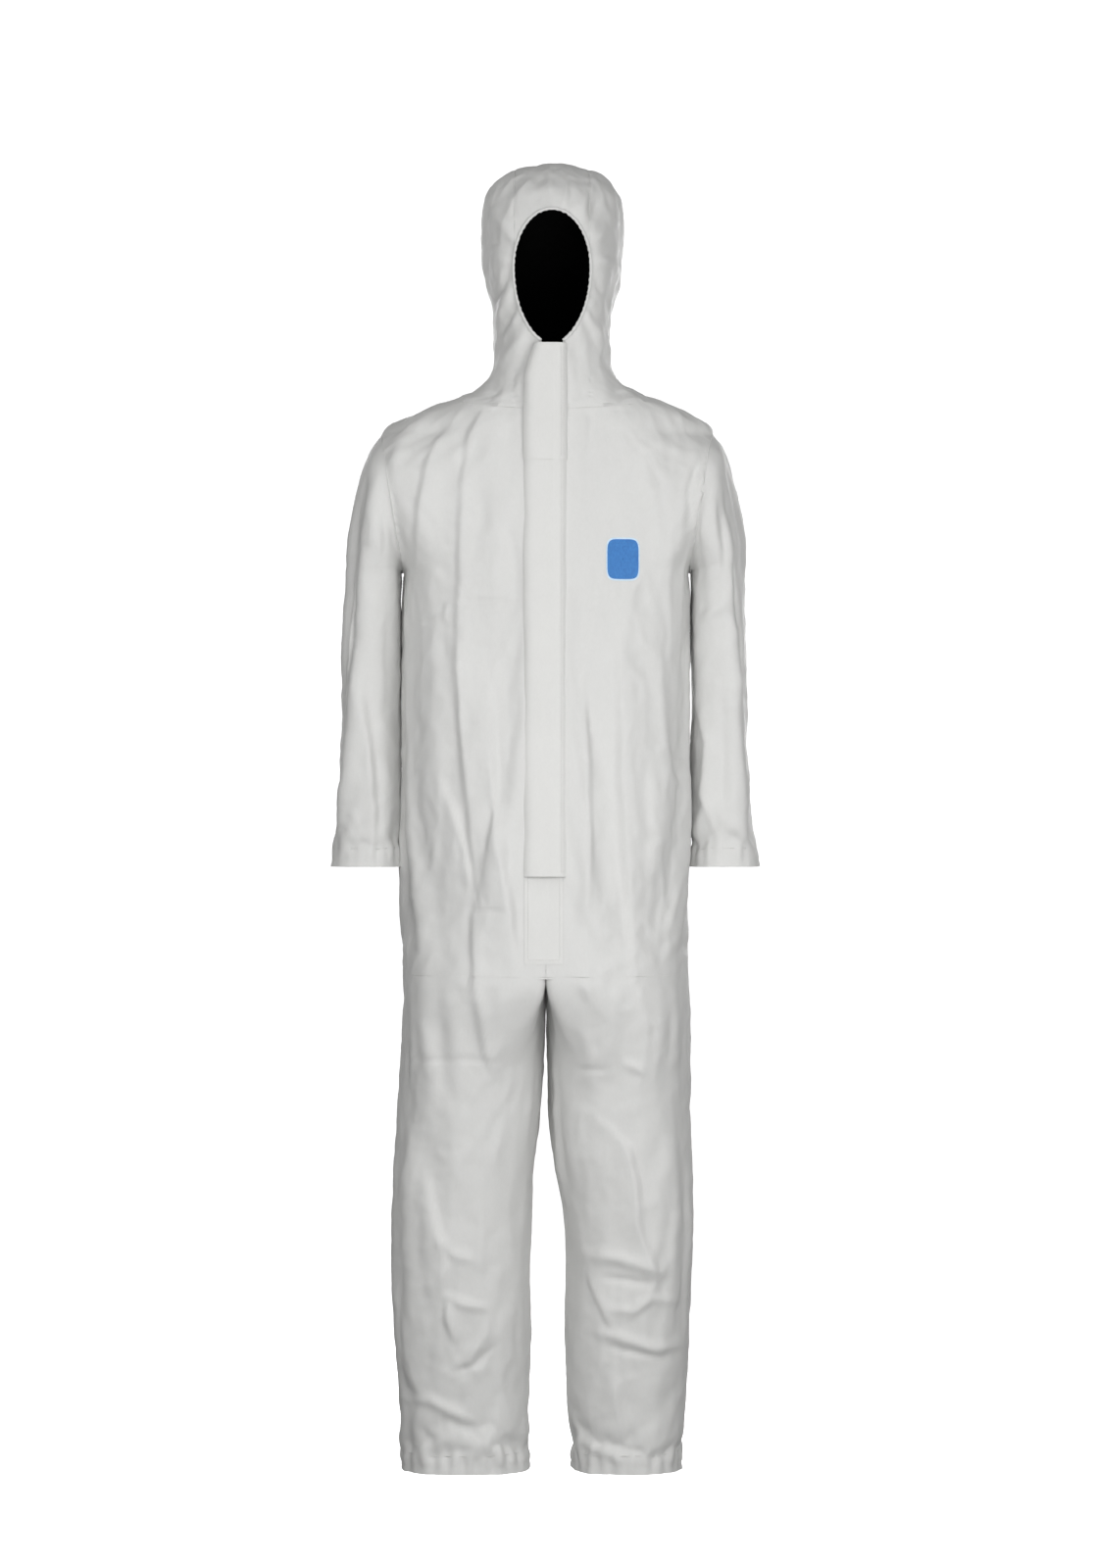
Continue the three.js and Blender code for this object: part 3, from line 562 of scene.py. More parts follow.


# ---------------------------------------------------------------- drape folds
# Each fold on the front: its places (x and height), width and lift in millimetres.
# A "fold" is steep on the wearer's right, a "dlof" on the wearer's left, and a "ridge" is even.

STROKES = [
    # chest, wearer's right
    ([(-76, 1394), (-97, 1361), (-105, 1311), (-109, 1234), (-112, 1158)], 15, 4.5, "fold"),
    ([(-112, 1158), (-113, 1053), (-109, 999), (-102, 917), (-93, 828), (-86, 771)], 17, 6.0, "fold"),
    ([(-131, 1364), (-152, 1323), (-164, 1260), (-168, 1177)], 15, 4.5, "fold"),
    ([(-161, 1377), (-189, 1353), (-203, 1311)], 12, 3.0, "ridge"),
    ([(-72, 1380), (-65, 1311), (-66, 1209), (-72, 1158)], 16, 3.0, "ridge"),
    ([(-43, 1234), (-38, 1190), (-38, 1146)], 7, -3.0, "ridge"),
    ([(-130, 1115), (-128, 1137), (-107, 1141)], 3.5, 1.6, "ridge"),
    ([(-165, 1115), (-149, 1119), (-133, 1121)], 2.6, -1.7, "ridge"),
    ([(-110, 1141), (-72, 1141), (-32, 1139)], 2.6, -1.8, "ridge"),
    ([(27, 1132), (50, 1134), (70, 1137)], 2.6, -1.3, "ridge"),
    # belly, wearer's right
    ([(-76, 1031), (-69, 917), (-60, 828), (-47, 739), (-34, 650)], 17, 6.5, "dlof"),
    ([(-149, 1107), (-141, 1006), (-147, 904), (-154, 828)], 20, 3.5, "ridge"),
    ([(-133, 904), (-116, 860), (-103, 815), (-98, 771)], 9, 3.2, "dlof"),
    ([(-98, 740), (-72, 739), (-44, 737)], 2.8, -1.2, "ridge"),
    ([(-93, 739), (-93, 695), (-90, 638)], 9, 3.0, "fold"),
    ([(-159, 739), (-161, 676), (-156, 599)], 20, 3.0, "ridge"),
    # chest and belly, wearer's left
    ([(58, 1393), (60, 1367), (55, 1323)], 6, -1.8, "ridge"),
    ([(70, 1384), (105, 1367), (135, 1334), (151, 1285), (161, 1209), (159, 1133)], 22, 3.5, "fold"),
    ([(97, 1107), (98, 955), (103, 841), (109, 739), (116, 638)], 19, 5.0, "fold"),
    ([(47, 1044), (51, 955), (55, 841), (52, 726)], 13, 3.6, "dlof"),
    ([(32, 1031), (33, 1003), (30, 973)], 5, -1.6, "ridge"),
    ([(146, 1082), (150, 980), (161, 879), (164, 777)], 20, 2.8, "dlof"),
    ([(159, 914), (169, 903), (178, 914)], 5, 1.8, "ridge"),
    ([(161, 940), (171, 931), (179, 937)], 4, 1.4, "ridge"),
    ([(8, 671), (32, 660), (55, 638), (70, 607)], 10, 3.8, "ridge"),
    ([(39, 739), (34, 701), (27, 668)], 12, 3.0, "fold"),
    # shoulders and sleeves
    ([(-210, 1323), (-203, 1273), (-194, 1224), (-182, 1171)], 7, -3.2, "ridge"),
    ([(-222, 1311), (-226, 1260), (-217, 1209), (-202, 1158)], 10, 3.2, "ridge"),
    ([(-235, 1209), (-246, 1107), (-245, 1031), (-234, 955), (-227, 866), (-229, 790)], 15, 5.5, "dlof"),
    ([(-260, 1146), (-262, 1057), (-263, 955)], 8, 2.2, "ridge"),
    ([(-255, 1006), (-264, 904), (-268, 828)], 10, 2.6, "fold"),
    ([(-204, 1107), (-207, 1006), (-199, 917)], 8, -2.2, "ridge"),
    ([(210, 1346), (197, 1316), (188, 1285), (185, 1242)], 5, -4.0, "ridge"),
    ([(222, 1342), (210, 1308), (202, 1260), (207, 1209)], 12, 4.2, "fold"),
    ([(239, 1209), (248, 1107), (245, 1006), (253, 904), (255, 828)], 17, 4.2, "dlof"),
    ([(202, 1107), (217, 1130), (235, 1143)], 7, 2.6, "ridge"),
    ([(197, 1031), (212, 955), (207, 892), (221, 841)], 9, 3.0, "fold"),
    ([(202, 897), (210, 876), (201, 851), (193, 820)], 7, 3.2, "ridge"),
    ([(230, 1031), (234, 942), (229, 853)], 8, -2.2, "ridge"),
    # hood and neck
    ([(-76, 1528), (-61, 1546), (-53, 1561), (-44, 1580)], 5, -3.2, "ridge"),
    ([(-60, 1491), (-50, 1511), (-37, 1534)], 5, -3.2, "ridge"),
    ([(-69, 1506), (-56, 1525), (-42, 1552)], 6, 2.8, "ridge"),
    ([(-65, 1448), (-47, 1468), (-30, 1488)], 8, 2.5, "ridge"),
    ([(-53, 1419), (-37, 1448), (-20, 1476)], 7, -2.0, "ridge"),
    ([(86, 1463), (70, 1491), (55, 1511)], 7, 2.0, "ridge"),
    ([(81, 1532), (71, 1549), (62, 1561)], 5, -1.9, "ridge"),
    ([(98, 1580), (81, 1588), (67, 1588)], 5, 1.8, "ridge"),
    ([(-76, 1605), (-64, 1610), (-47, 1607)], 4, -1.6, "ridge"),
    ([(-71, 1660), (-55, 1634), (-42, 1613)], 7, 2.2, "ridge"),
    ([(-14, 1702), (-11, 1679), (-10, 1660)], 5, -1.9, "ridge"),
    ([(5, 1717), (4, 1694), (5, 1666)], 6, 1.9, "ridge"),
    ([(32, 1699), (33, 1673), (30, 1654)], 5, -1.9, "ridge"),
    ([(61, 1692), (52, 1664), (44, 1638)], 6, 2.0, "ridge"),
    ([(72, 1671), (62, 1648), (55, 1626)], 5, -1.8, "ridge"),
    ([(85, 1633), (72, 1618), (61, 1608)], 6, 1.8, "ridge"),
    ([(-76, 1407), (-65, 1417), (-72, 1433)], 7, -2.4, "ridge"),
    ([(105, 1410), (90, 1417), (95, 1433)], 7, -2.0, "ridge"),
    # wearer's right leg
    ([(-95, 650), (-85, 599), (-79, 555), (-67, 528)], 9, 3.4, "fold"),
    ([(-62, 650), (-57, 599), (-64, 545)], 9, 2.4, "ridge"),
    ([(-188, 545), (-136, 547), (-62, 546)], 2.8, -1.0, "ridge"),
    ([(-154, 384), (-144, 333), (-133, 282), (-136, 231)], 13, 3.8, "dlof"),
    ([(-141, 318), (-121, 292), (-93, 284)], 7, 2.4, "ridge"),
    ([(-128, 236), (-103, 226), (-75, 221)], 6, 2.6, "ridge"),
    ([(-130, 231), (-128, 203), (-118, 178)], 8, 3.6, "fold"),
    ([(-72, 206), (-88, 173), (-110, 147)], 7, 3.0, "ridge"),
    ([(-121, 137), (-93, 147), (-69, 170)], 4, -2.0, "ridge"),
    ([(-192, 142), (-185, 112), (-169, 97)], 7, -2.8, "ridge"),
    ([(-187, 99), (-149, 99), (-121, 84), (-90, 69)], 7, 3.2, "ridge"),
    ([(-169, 91), (-164, 47), (-159, 5)], 10, 2.2, "ridge"),
    ([(-75, 71), (-65, 41), (-55, 15)], 9, 2.4, "dlof"),
    ([(-177, 447), (-179, 371), (-187, 282)], 14, 2.6, "ridge"),
    ([(-110, 523), (-121, 447), (-110, 371)], 18, 2.4, "ridge"),
    # wearer's left leg
    ([(47, 485), (43, 447), (39, 414)], 4, 1.6, "ridge"),
    ([(42, 533), (60, 535), (77, 533)], 3.5, -1.6, "ridge"),
    ([(100, 544), (116, 536), (131, 528)], 5, 1.9, "ridge"),
    ([(80, 460), (105, 432), (116, 384), (118, 333), (141, 264)], 15, 4.4, "dlof"),
    ([(55, 290), (90, 287), (118, 279), (151, 267)], 8, 3.6, "ridge"),
    ([(75, 262), (105, 258), (141, 253)], 4, -2.4, "ridge"),
    ([(57, 269), (70, 231), (85, 198)], 9, 3.2, "fold"),
    ([(83, 221), (113, 218), (136, 234), (169, 229)], 6, 2.6, "ridge"),
    ([(67, 190), (105, 180), (141, 168), (174, 170)], 7, 3.4, "ridge"),
    ([(80, 171), (118, 163), (151, 155)], 4, -1.8, "ridge"),
    ([(90, 142), (93, 91), (103, 41)], 12, 2.8, "dlof"),
    ([(146, 358), (159, 409), (169, 447)], 12, 2.8, "ridge"),
    ([(131, 117), (141, 66), (136, 15)], 13, 2.2, "ridge"),
    ([(44, 43), (80, 28), (105, 15)], 6, 2.0, "ridge"),
    # thighs
    ([(42, 599), (55, 549), (62, 498)], 14, 2.4, "ridge"),
    ([(124, 638), (131, 574), (121, 511)], 18, 2.4, "fold"),
    ([(-154, 599), (-149, 523), (-154, 460)], 18, 2.4, "ridge"),
]


def stroke_field(co, normal, strokes):
    """How far each point moves out along its normal."""
    x, z = co[:, 0] * 1000, co[:, 2] * 1000 + NECK
    facing = np.clip(-normal[:, 1] * 2.5, 0, 1)
    total = np.zeros(len(co))
    for points, width, lift, kind in strokes:
        path = np.array(points, float)
        low, high = path.min(axis=0) - 5 * width, path.max(axis=0) + 5 * width
        near = np.flatnonzero((x > low[0]) & (x < high[0]) & (z > low[1]) & (z < high[1]) & (facing > 0))
        if not len(near):
            continue
        nx, nz = x[near], z[near]
        best = np.full(len(near), 1e9)
        signed, along = np.zeros(len(near)), np.zeros(len(near))
        lengths = np.hypot(*np.diff(path, axis=0).T)
        run = np.concatenate([[0], np.cumsum(lengths)])
        for i in range(len(path) - 1):
            a, d = path[i], path[i + 1] - path[i]
            t = np.clip(((nx - a[0]) * d[0] + (nz - a[1]) * d[1]) / (d @ d), 0, 1)
            px, pz = nx - a[0] - t * d[0], nz - a[1] - t * d[1]
            far = np.hypot(px, pz)
            side = np.sign(d[0] * pz - d[1] * px)
            nearer = far < best
            best = np.where(nearer, far, best)
            signed = np.where(nearer, far * side, signed)
            along = np.where(nearer, (run[i] + t * lengths[i]) / run[-1], along)
        fade = np.sin(np.pi * np.clip(along * 0.94 + 0.03, 0, 1)) ** 0.6
        if kind == "ridge":
            shape = np.exp(-((signed / width) ** 2))
        else:
            s = signed if kind == "fold" else -signed
            gentle = np.exp(-((np.maximum(s, 0) / (1.5 * width)) ** 1.3))
            shape = np.where(s > 0, gentle, np.exp(-((s / (0.34 * width)) ** 2)))
        total[near] += lift * shape * fade
    return total * facing / 1000


def edges_of(obj):
    """Each edge's two vertices, and whether the edge is on the mesh's boundary."""
    edges = np.empty(len(obj.data.edges) * 2, int)
    obj.data.edges.foreach_get("vertices", edges)
    loops = np.empty(len(obj.data.loops), int)
    obj.data.loops.foreach_get("edge_index", loops)
    edges = edges.reshape(-1, 2)
    return edges, np.bincount(loops, minlength=len(edges)) == 1


def boundary_steps(obj):
    """How many edges each vertex is from the mesh's boundary, up to 4."""
    edges, is_open = edges_of(obj)
    steps = np.full(len(obj.data.vertices), 4)
    steps[edges[is_open].ravel()] = 0
    for step in (1, 2, 3):
        inside = steps < step
        for a, b in ((0, 1), (1, 0)):
            ends = edges[inside[edges[:, a]], b]
            steps[ends] = np.minimum(steps[ends], step)
    return steps


def held_weights(obj):
    """1 at the seams and hems, less inside."""
    return np.array([1, 0.75, 0.4, 0.2, 0])[boundary_steps(obj)]


def hip_fade(co):
    """The legs and the body move as one where they meet."""
    return smoothstep(np.clip(np.abs(co[:, 2] * 1000 + NECK - CROTCH) / 80.0, 0, 1))


CAP = 0.010  # the most that the simulation moves a point
SIM_STEPS = 22
# how much larger than the body each part is cut, around and down
GROWTH = {
    "trunk": (1.045, 1.015), "hood": (1.035, 1.025), "left_sleeve": (1.05, 1.035),
    "right_sleeve": (1.05, 1.035), "left_leg": (1.05, 1.035), "right_leg": (1.05, 1.035),
}


def simulated_fade(obj, co):
    """How much of the simulated shift each point keeps: none at the seams, and little at hems and crown."""
    fade = hip_fade(co) if obj.name == "trunk" or "leg" in obj.name else np.ones(len(co))
    fade = fade * np.array([0.0, 0.3, 0.6, 0.85, 1.0])[boundary_steps(obj)]
    height = co[:, 2] * 1000 + NECK
    if obj.name == "hood":
        fade = fade * (0.35 * np.clip((1718 - height) / 90, 0.12, 1))
    if "sleeve" in obj.name:
        fade = fade * np.clip((height - 790) / 45, 0.1, 1)
    return fade


def cloth_modifier(cloth, steps):
    modifier = cloth.modifiers.new("Cloth", "CLOTH")
    settings = modifier.settings
    settings.quality = 5
    settings.mass = 0.25
    settings.tension_stiffness = settings.compression_stiffness = 25
    settings.shear_stiffness = 8
    settings.bending_stiffness = 1.2
    settings.tension_damping = settings.compression_damping = 10
    settings.bending_damping = 2
    settings.air_damping = 4
    settings.vertex_group_mass = "hold"
    settings.pin_stiffness = 3.0
    settings.rest_shape_key = cloth.data.shape_keys.key_blocks["Rest"]
    modifier.collision_settings.use_collision = False
    modifier.collision_settings.use_self_collision = False
    modifier.point_cache.frame_start, modifier.point_cache.frame_end = 1, steps


def crumple(parts, steps):
    """The fabric is cut larger than the body inside it, and buckles as it hangs from its seams."""
    start = []
    vertices, faces, rest, hold = [], [], [], []
    base = 0
    for obj in parts:
        co = coordinates(obj)
        start.append(base)
        z = co[:, 2]
        middle = np.zeros((len(co), 2))
        levels = np.round(z / 0.02).astype(int)
        for level in np.unique(levels):
            here = levels == level
            middle[here] = (co[here, :2].min(0) + co[here, :2].max(0)) / 2
        around, down = GROWTH[obj.name]
        grown = co.copy()
        grown[:, :2] = middle + (co[:, :2] - middle) * around
        grown[:, 2] = z.mean() + (z - z.mean()) * down
        vertices.append(co)
        rest.append(grown)
        faces += [tuple(v + base for v in p.vertices) for p in obj.data.polygons]
        hold.append(held_weights(obj))
        base += len(co)
    vertices, rest, hold = np.concatenate(vertices), np.concatenate(rest), np.concatenate(hold)
    cloth = mesh_object("sim_cloth", vertices, faces)
    cloth.shape_key_add(name="Basis")
    key = cloth.shape_key_add(name="Rest")
    key.data.foreach_set("co", rest.ravel())
    key.value = 0.0
    group = cloth.vertex_groups.new(name="hold")
    for w in np.unique(hold):
        group.add([int(i) for i in np.flatnonzero(hold == w)], float(max(w, 0.055)), "REPLACE")
    cloth_modifier(cloth, steps)
    scene = bpy.context.scene
    for step in range(1, steps + 1):
        scene.frame_set(step)
    graph = bpy.context.evaluated_depsgraph_get()
    result = cloth.evaluated_get(graph).to_mesh()
    co = np.empty(len(result.vertices) * 3)
    result.vertices.foreach_get("co", co)
    shift = co.reshape(-1, 3) - vertices
    cloth.evaluated_get(graph).to_mesh_clear()
    bpy.data.objects.remove(cloth)
    scene.frame_set(1)
    for obj, base in zip(parts, start):
        here = slice(base, base + len(obj.data.vertices))
        own = shift[here]
        own = own - 0.9 * spread_out(obj, own, 60)
        far = np.linalg.norm(own, axis=1)
        own *= (CAP * np.tanh(far / CAP) / np.maximum(far, 1e-9))[:, None]
        fade = simulated_fade(obj, vertices[here])
        place(obj, vertices[here] + own * fade[:, None])


def spread_out(obj, values, times):
    """Values at the vertices, averaged with their neighbours' again and again."""
    edges, _ = edges_of(obj)
    a, b = edges.T
    count = np.bincount(edges.ravel(), minlength=len(values))[:, None] + 1.0
    for _ in range(times):
        total = values.copy()
        for axis in range(values.shape[1]):
            own = values[:, axis]
            total[:, axis] += np.bincount(a, own[b], len(values)) + np.bincount(b, own[a], len(values))
        values = total / count
    return values


for number, obj in enumerate(objects.values()):
    co, n = coordinates(obj), normals(obj)
    amount = 0.0016 * wobble(co * [1.0, 1.0, 0.45], 16, number + 1) + 0.0009 * wobble(co, 45, number + 2)
    place(obj, co + n * (amount * (1 - held_weights(obj)) * hip_fade(co))[:, None])
crumple(list(objects.values()), SIM_STEPS)


def finer(obj):
    modifier = obj.modifiers.new("Subdivision", "SUBSURF")
    modifier.levels = 1
    modifier.boundary_smooth = "PRESERVE_CORNERS"
    graph = bpy.context.evaluated_depsgraph_get()
    mesh = bpy.data.meshes.new_from_object(obj.evaluated_get(graph))
    obj.modifiers.clear()
    obj.data = mesh


def round_face(x, z):
    """Angle round the face opening, from its top."""
    return np.arctan2(x - FACE_X - SWAY_X, z - FACE_Z)


TILT = np.array([[0.82, 0, 0.57], [0, 1, 0], [-0.57, 0, 0.82]])


def drape(obj):
    """Folds, gathers and creases of the finished surface."""
    co, n = coordinates(obj), normals(obj)
    mm = co * 1000 + [0, 0, NECK]
    x, y, z = mm.T
    out = 1.5 * stroke_field(co, n, STROKES)
    # soft folds that hang down, and small crumples with sharp crests
    hang = wobble(co * [1.0, 1.0, 0.28], 17, 11, 2)
    crease = wobble(co * [1.0, 1.0, 0.55], 27, 12, 2)
    tilted = wobble(co @ TILT * [1.0, 1.0, 0.35], 21, 13, 2)
    small = wobble(co, 60, 14, 2)
    patchy = np.clip(0.5 + 1.6 * wobble(co, 5.5, 15, 1), 0, 1)
    out += 0.0034 * (0.4 - np.abs(hang)) + 0.0030 * patchy * (0.35 - np.abs(crease))
    out += 0.0026 * (1 - patchy) * (0.35 - np.abs(tilted)) + 0.0006 * small
    # the fabric under the flaps stays nearly flat
    out *= 1 - 0.85 * np.clip(-n[:, 1], 0, 1) * np.exp(-(((x - 4) / 44) ** 6)) * (z < 1330)
    behind = np.clip(n[:, 1] * 2, 0, 1)
    if obj.name == "trunk":
        gather = np.sin(x / 15.0 * 2 * np.pi + 1.3 * np.sin(x / 23))
        flank = np.clip((np.abs(n[:, 0]) - 0.5) * 2, 0, 1)
        out += 0.0018 * flank * np.clip((z - 780) / 30, 0, 1) * np.clip((1175 - z) / 30, 0, 1)
        out += behind * band(z, WAIST, 26) * (0.0019 * gather - 0.005 * band(z, WAIST, 16))
    if obj.name == "hood":
        far = oval_polar(x - SWAY_X, z)
        near = np.where(y < 0, np.exp(-np.clip(far - 1, 0, 9) / 0.55), 0)
        turn = round_face(x, z)
        pleats = np.cos(27 * turn + 1.7 * np.sin(3 * turn)) * (0.65 + 0.35 * np.sin(5 * turn + 1))
        out += near * 0.0013 * pleats
        seams = np.exp(-((np.abs(x - SWAY_X) - STRIP) / 2.5) ** 2)
        out -= 0.0012 * seams * (np.abs(n[:, 2]) + behind > 0.25)
    for side, sign in SIDES.items():
        if obj.name == f"{side}_sleeve":
            turn = np.arctan2(y, (x * sign - 235))
            inner = np.clip(-np.cos(turn), 0, 1)
            out += 0.0018 * np.clip(-n[:, 0] * sign * 2 - 1, 0, 1) * np.clip((1165 - z) / 30, 0, 1)
            fuller = np.clip((1330 - z) / 100, 0, 1) * np.clip((z - 795) / 60, 0.4, 1)
            out += 0.006 * np.clip(n[:, 0] * sign, 0, 1) * fuller
            out += band(z, 812, 16) * (0.0012 * np.sin(turn * 21 + sign) * (0.3 + inner) - 0.0012)
        if obj.name == f"{side}_leg":
            turn = np.arctan2(y, (x * sign - 106))
            out += 0.004 * np.abs(n[:, 0]) * np.clip((500 - z) / 100, 0, 1)
            out += band(z, 16, 14) * (0.0013 * np.sin(turn * 25 + sign) - 0.001)
    # the finished edges stay where the next piece meets them
    keep = np.array([0.0, 0.35, 0.7, 0.9, 1.0])[boundary_steps(obj)]
    free = (z < 6) if "leg" in obj.name else (z < 800) if "sleeve" in obj.name else np.zeros(len(z), bool)
    keep = np.where(free, 1.0, keep)
    if obj.name == "trunk" or "leg" in obj.name:
        keep = np.where(np.abs(z - CROTCH) < 30, 1.0, keep)
    place(obj, co + n * (out * keep)[:, None])


for obj in objects.values():
    finer(obj)
    drape(obj)


SPREAD = 0.045  # how far down the sleeve the armhole's correction reaches


def close_armhole(side, sign):
    """The sleeve's upper edge lies on the armhole's edge all the way round."""
    trunk, sleeve = objects["trunk"], objects[f"{side}_sleeve"]
    goal = coordinates(trunk)
    edges, is_open = edges_of(trunk)
    a, b = goal[edges[is_open, 0]], goal[edges[is_open, 1]]
    here = (a[:, 0] * sign > 0.17) & (a[:, 2] > (ARMPIT - 6 - NECK) / 1000)
    a, b = a[here], b[here]
    line = np.concatenate([a + (b - a) * t for t in (0.0, 0.2, 0.4, 0.6, 0.8)])
    tree = tree_of(line)
    co = coordinates(sleeve)
    rim = np.flatnonzero((boundary_steps(sleeve) == 0) & (co[:, 2] > (ARMPIT - 20 - NECK) / 1000))
    pull = np.array([line[tree.find(co[i])[1]] - co[i] for i in rim])
    near = tree_of(co[rim])
    out = co.copy()
    for i, point in enumerate(co):
        if point[2] < (ARMPIT - 60 - NECK) / 1000:
            continue
        found = near.find_n(point, 4)
        far = found[0][2]
        if far < 1e-6:
            out[i] += pull[found[0][1]]
        elif far < SPREAD:
            weights = np.array([1 / (f[2] + 0.002) for f in found])
            mean = (pull[[f[1] for f in found]] * weights[:, None]).sum(0) / weights.sum()
            out[i] += mean * smoothstep(1 - far / SPREAD)
    place(sleeve, out)


for side, sign in SIDES.items():
    close_armhole(side, sign)


# ---------------------------------------------------------------- pieces


def strip_hood():
    """The hood's middle panel is a strip over the head; the collar below it is in two halves."""
    with editing(objects["hood"]) as bm:
        for x in (-STRIP, STRIP):
            bmesh.ops.bisect_plane(bm, geom=bm.verts[:] + bm.edges[:] + bm.faces[:], dist=1e-5,
                                   plane_co=((SWAY_X + x) / 1000, 0, 0), plane_no=(1, 0, 0))
        for f in bm.faces:
            c = f.calc_center_median() * 1000
            x, z = c.x - SWAY_X, c.z + NECK
            if f.material_index == 0:
                f.material_index = 0 if x > 0 else 2
            elif abs(x) < STRIP and (c.y > 0 or z > FACE_Z):
                f.material_index = 8
            else:
                f.material_index = 4 if x > 0 else 6


strip_hood()

NORMALS = {name: normals(obj).copy() for name, obj in objects.items()}


def met_normals(obj, others):
    """Vertex normals, averaged with the next skin's where they meet, so that the fabric runs on unbroken."""
    n, co = NORMALS[obj.name].copy(), coordinates(obj)
    edge = boundary_steps(obj)
    for other in others:
        pick = np.flatnonzero(boundary_steps(other) == 0)
        oc, on = coordinates(other)[pick], NORMALS[other.name][pick]
        tree = tree_of(oc)
        for i in np.flatnonzero(edge < 4):
            _, j, far = tree.find(co[i])
            if far < 0.018:
                mean = on[j] + NORMALS[obj.name][i]
                share = 0.5 + 0.5 * math.cos(math.pi * far / 0.018)
                v = n[i] * (1 - share) + mean / max(np.linalg.norm(mean), 1e-9) * share
                n[i] = v / max(np.linalg.norm(v), 1e-9)
    return n


MEETS = {
    "trunk": ["left_leg", "right_leg", "hood"], "hood": ["trunk"],
    "left_leg": ["trunk"], "right_leg": ["trunk"],
}
facing_of = {
    name: met_normals(obj, [objects[o] for o in MEETS.get(name, [])]) for name, obj in objects.items()
}
FABRIC = 0.0006  # thickness of one layer, in metres


def thick_mesh(name, co, faces, facing, thickness, sink=0.0):
    """A layer of fabric with its outer face sunk below the given surface."""
    outer = co - facing * sink
    inner = co - facing * (sink + thickness)
    count = len(co)
    edge_use = {}
    for f in faces:
        for a, b in zip(f, f[1:] + f[:1]):
            edge_use[(a, b)] = True
    rim = [(b, a, a + count, b + count) for a, b in edge_use if (b, a) not in edge_use]
    all_faces = list(faces) + [tuple(v + count for v in reversed(f)) for f in faces] + rim
    obj = smooth_shaded(mesh_object(name, np.concatenate([outer, inner]), all_faces))
    obj.data.normals_split_custom_set_from_vertices([tuple(v) for v in np.concatenate([facing, -facing])])
    return obj


def faces_of(skin_name, test):
    """The faces of a skin that pass a test of (piece number, centre in mm), with their own points."""
    obj = objects[skin_name]
    co, facing = coordinates(obj), facing_of[skin_name]
    chosen = []
    for p in obj.data.polygons:
        c = p.center
        if test(p.material_index // 2, c.x * 1000, c.y * 1000, c.z * 1000 + NECK):
            chosen.append(tuple(p.vertices))
    used = sorted({v for f in chosen for v in f})
    place_of = {v: i for i, v in enumerate(used)}
    return co[used], [tuple(place_of[v] for v in f) for f in chosen], facing[used]


def lines_between(skin_name, test):
    """Chains of points along the joins of a skin's pieces, or its edge where the second number is None."""
    obj = objects[skin_name]
    sides = {}
    for p in obj.data.polygons:
        for key in p.edge_keys:
            sides.setdefault(key, []).append(p.material_index)
    co = coordinates(obj)
    links = {}
    for (a, b), m in sides.items():
        m = sorted(m) + [None] * (2 - len(m))
        if m[0] == m[1]:
            continue
        c = (co[a] + co[b]) * 500
        if test(m[0], m[1], c[0], c[1], c[2] + NECK):
            links.setdefault(a, []).append(b)
            links.setdefault(b, []).append(a)
    chains = []
    left = {v: list(w) for v, w in links.items()}
    while any(left.values()):
        ends = [v for v, w in left.items() if len(w) == 1] or [v for v, w in left.items() if w]
        at = ends[0]
        chain = [at]
        while left[at]:
            to = left[at].pop(0)
            left[to].remove(at)
            chain.append(to)
            at = to
        if len(chain) > 4:
            chains.append((co[chain], facing_of[skin_name][chain]))
    return chains


def resample(line, facing, step):
    run = np.concatenate([[0], np.cumsum(np.linalg.norm(np.diff(line, axis=0), axis=1))])
    count = max(2, int(round(run[-1] / step)) + 1)
    at = np.linspace(0, run[-1], count)
    points = np.stack([np.interp(at, run, line[:, i]) for i in range(3)], axis=1)
    out = np.stack([np.interp(at, run, facing[:, i]) for i in range(3)], axis=1)
    return points, out / np.maximum(np.linalg.norm(out, axis=1), 1e-9)[:, None]


STITCH = 4.2


def seam(name, lines, width=1.3, height=0.45):
    """A sewn ridge with a stitch every few millimetres, laid on the surface along each line."""
    vertices, faces = [], []

    def add(points, out, wide, high, closed_ends):
        along = np.gradient(points, axis=0)
        along /= np.maximum(np.linalg.norm(along, axis=1), 1e-9)[:, None]
        across = np.cross(along, out)
        across /= np.maximum(np.linalg.norm(across, axis=1), 1e-9)[:, None]
        base = len(vertices)
        turns = np.linspace(0, 2 * math.pi, 7)[:-1]
        for i in range(len(points)):
            swell = 0.45 if closed_ends and i in (0, len(points) - 1) else 1.0
            for turn in turns:
                way = across[i] * math.cos(turn) * wide + out[i] * math.sin(turn) * high
                vertices.append(points[i] + way * swell)
        for i in range(len(points) - 1):
            for j in range(6):
                a, b = base + 6 * i + j, base + 6 * i + (j + 1) % 6
                faces.append((a, b, b + 6, a + 6))
        faces.append(tuple(base + j for j in range(6))[::-1])
        faces.append(tuple(base + 6 * (len(points) - 1) + j for j in range(6)))

    for line, facing in lines:
        points, out = resample(line, facing, 0.005)
        if len(points) > 5:
            soft = points.copy()
            for _ in range(2):
                soft[1:-1] = (soft[:-2] + 2 * soft[1:-1] + soft[2:]) / 4
            points = soft
        add(points, out, width / 2000, height / 1000, False)
        fine, fine_out = resample(points, out, STITCH / 1000)
        for i in range(len(fine) - 1):
            step = fine[i + 1] - fine[i]
            three = np.array([fine[i] + step * k for k in (0.14, 0.5, 0.86)])
            three = three + fine_out[i] * height * 0.8 / 1000
            add(three, np.repeat(fine_out[i:i + 1], 3, axis=0), 0.00038, 0.00035, True)
    return smooth_shaded(mesh_object(name, np.array(vertices), faces))


# ---------------------------------------------------------------- materials


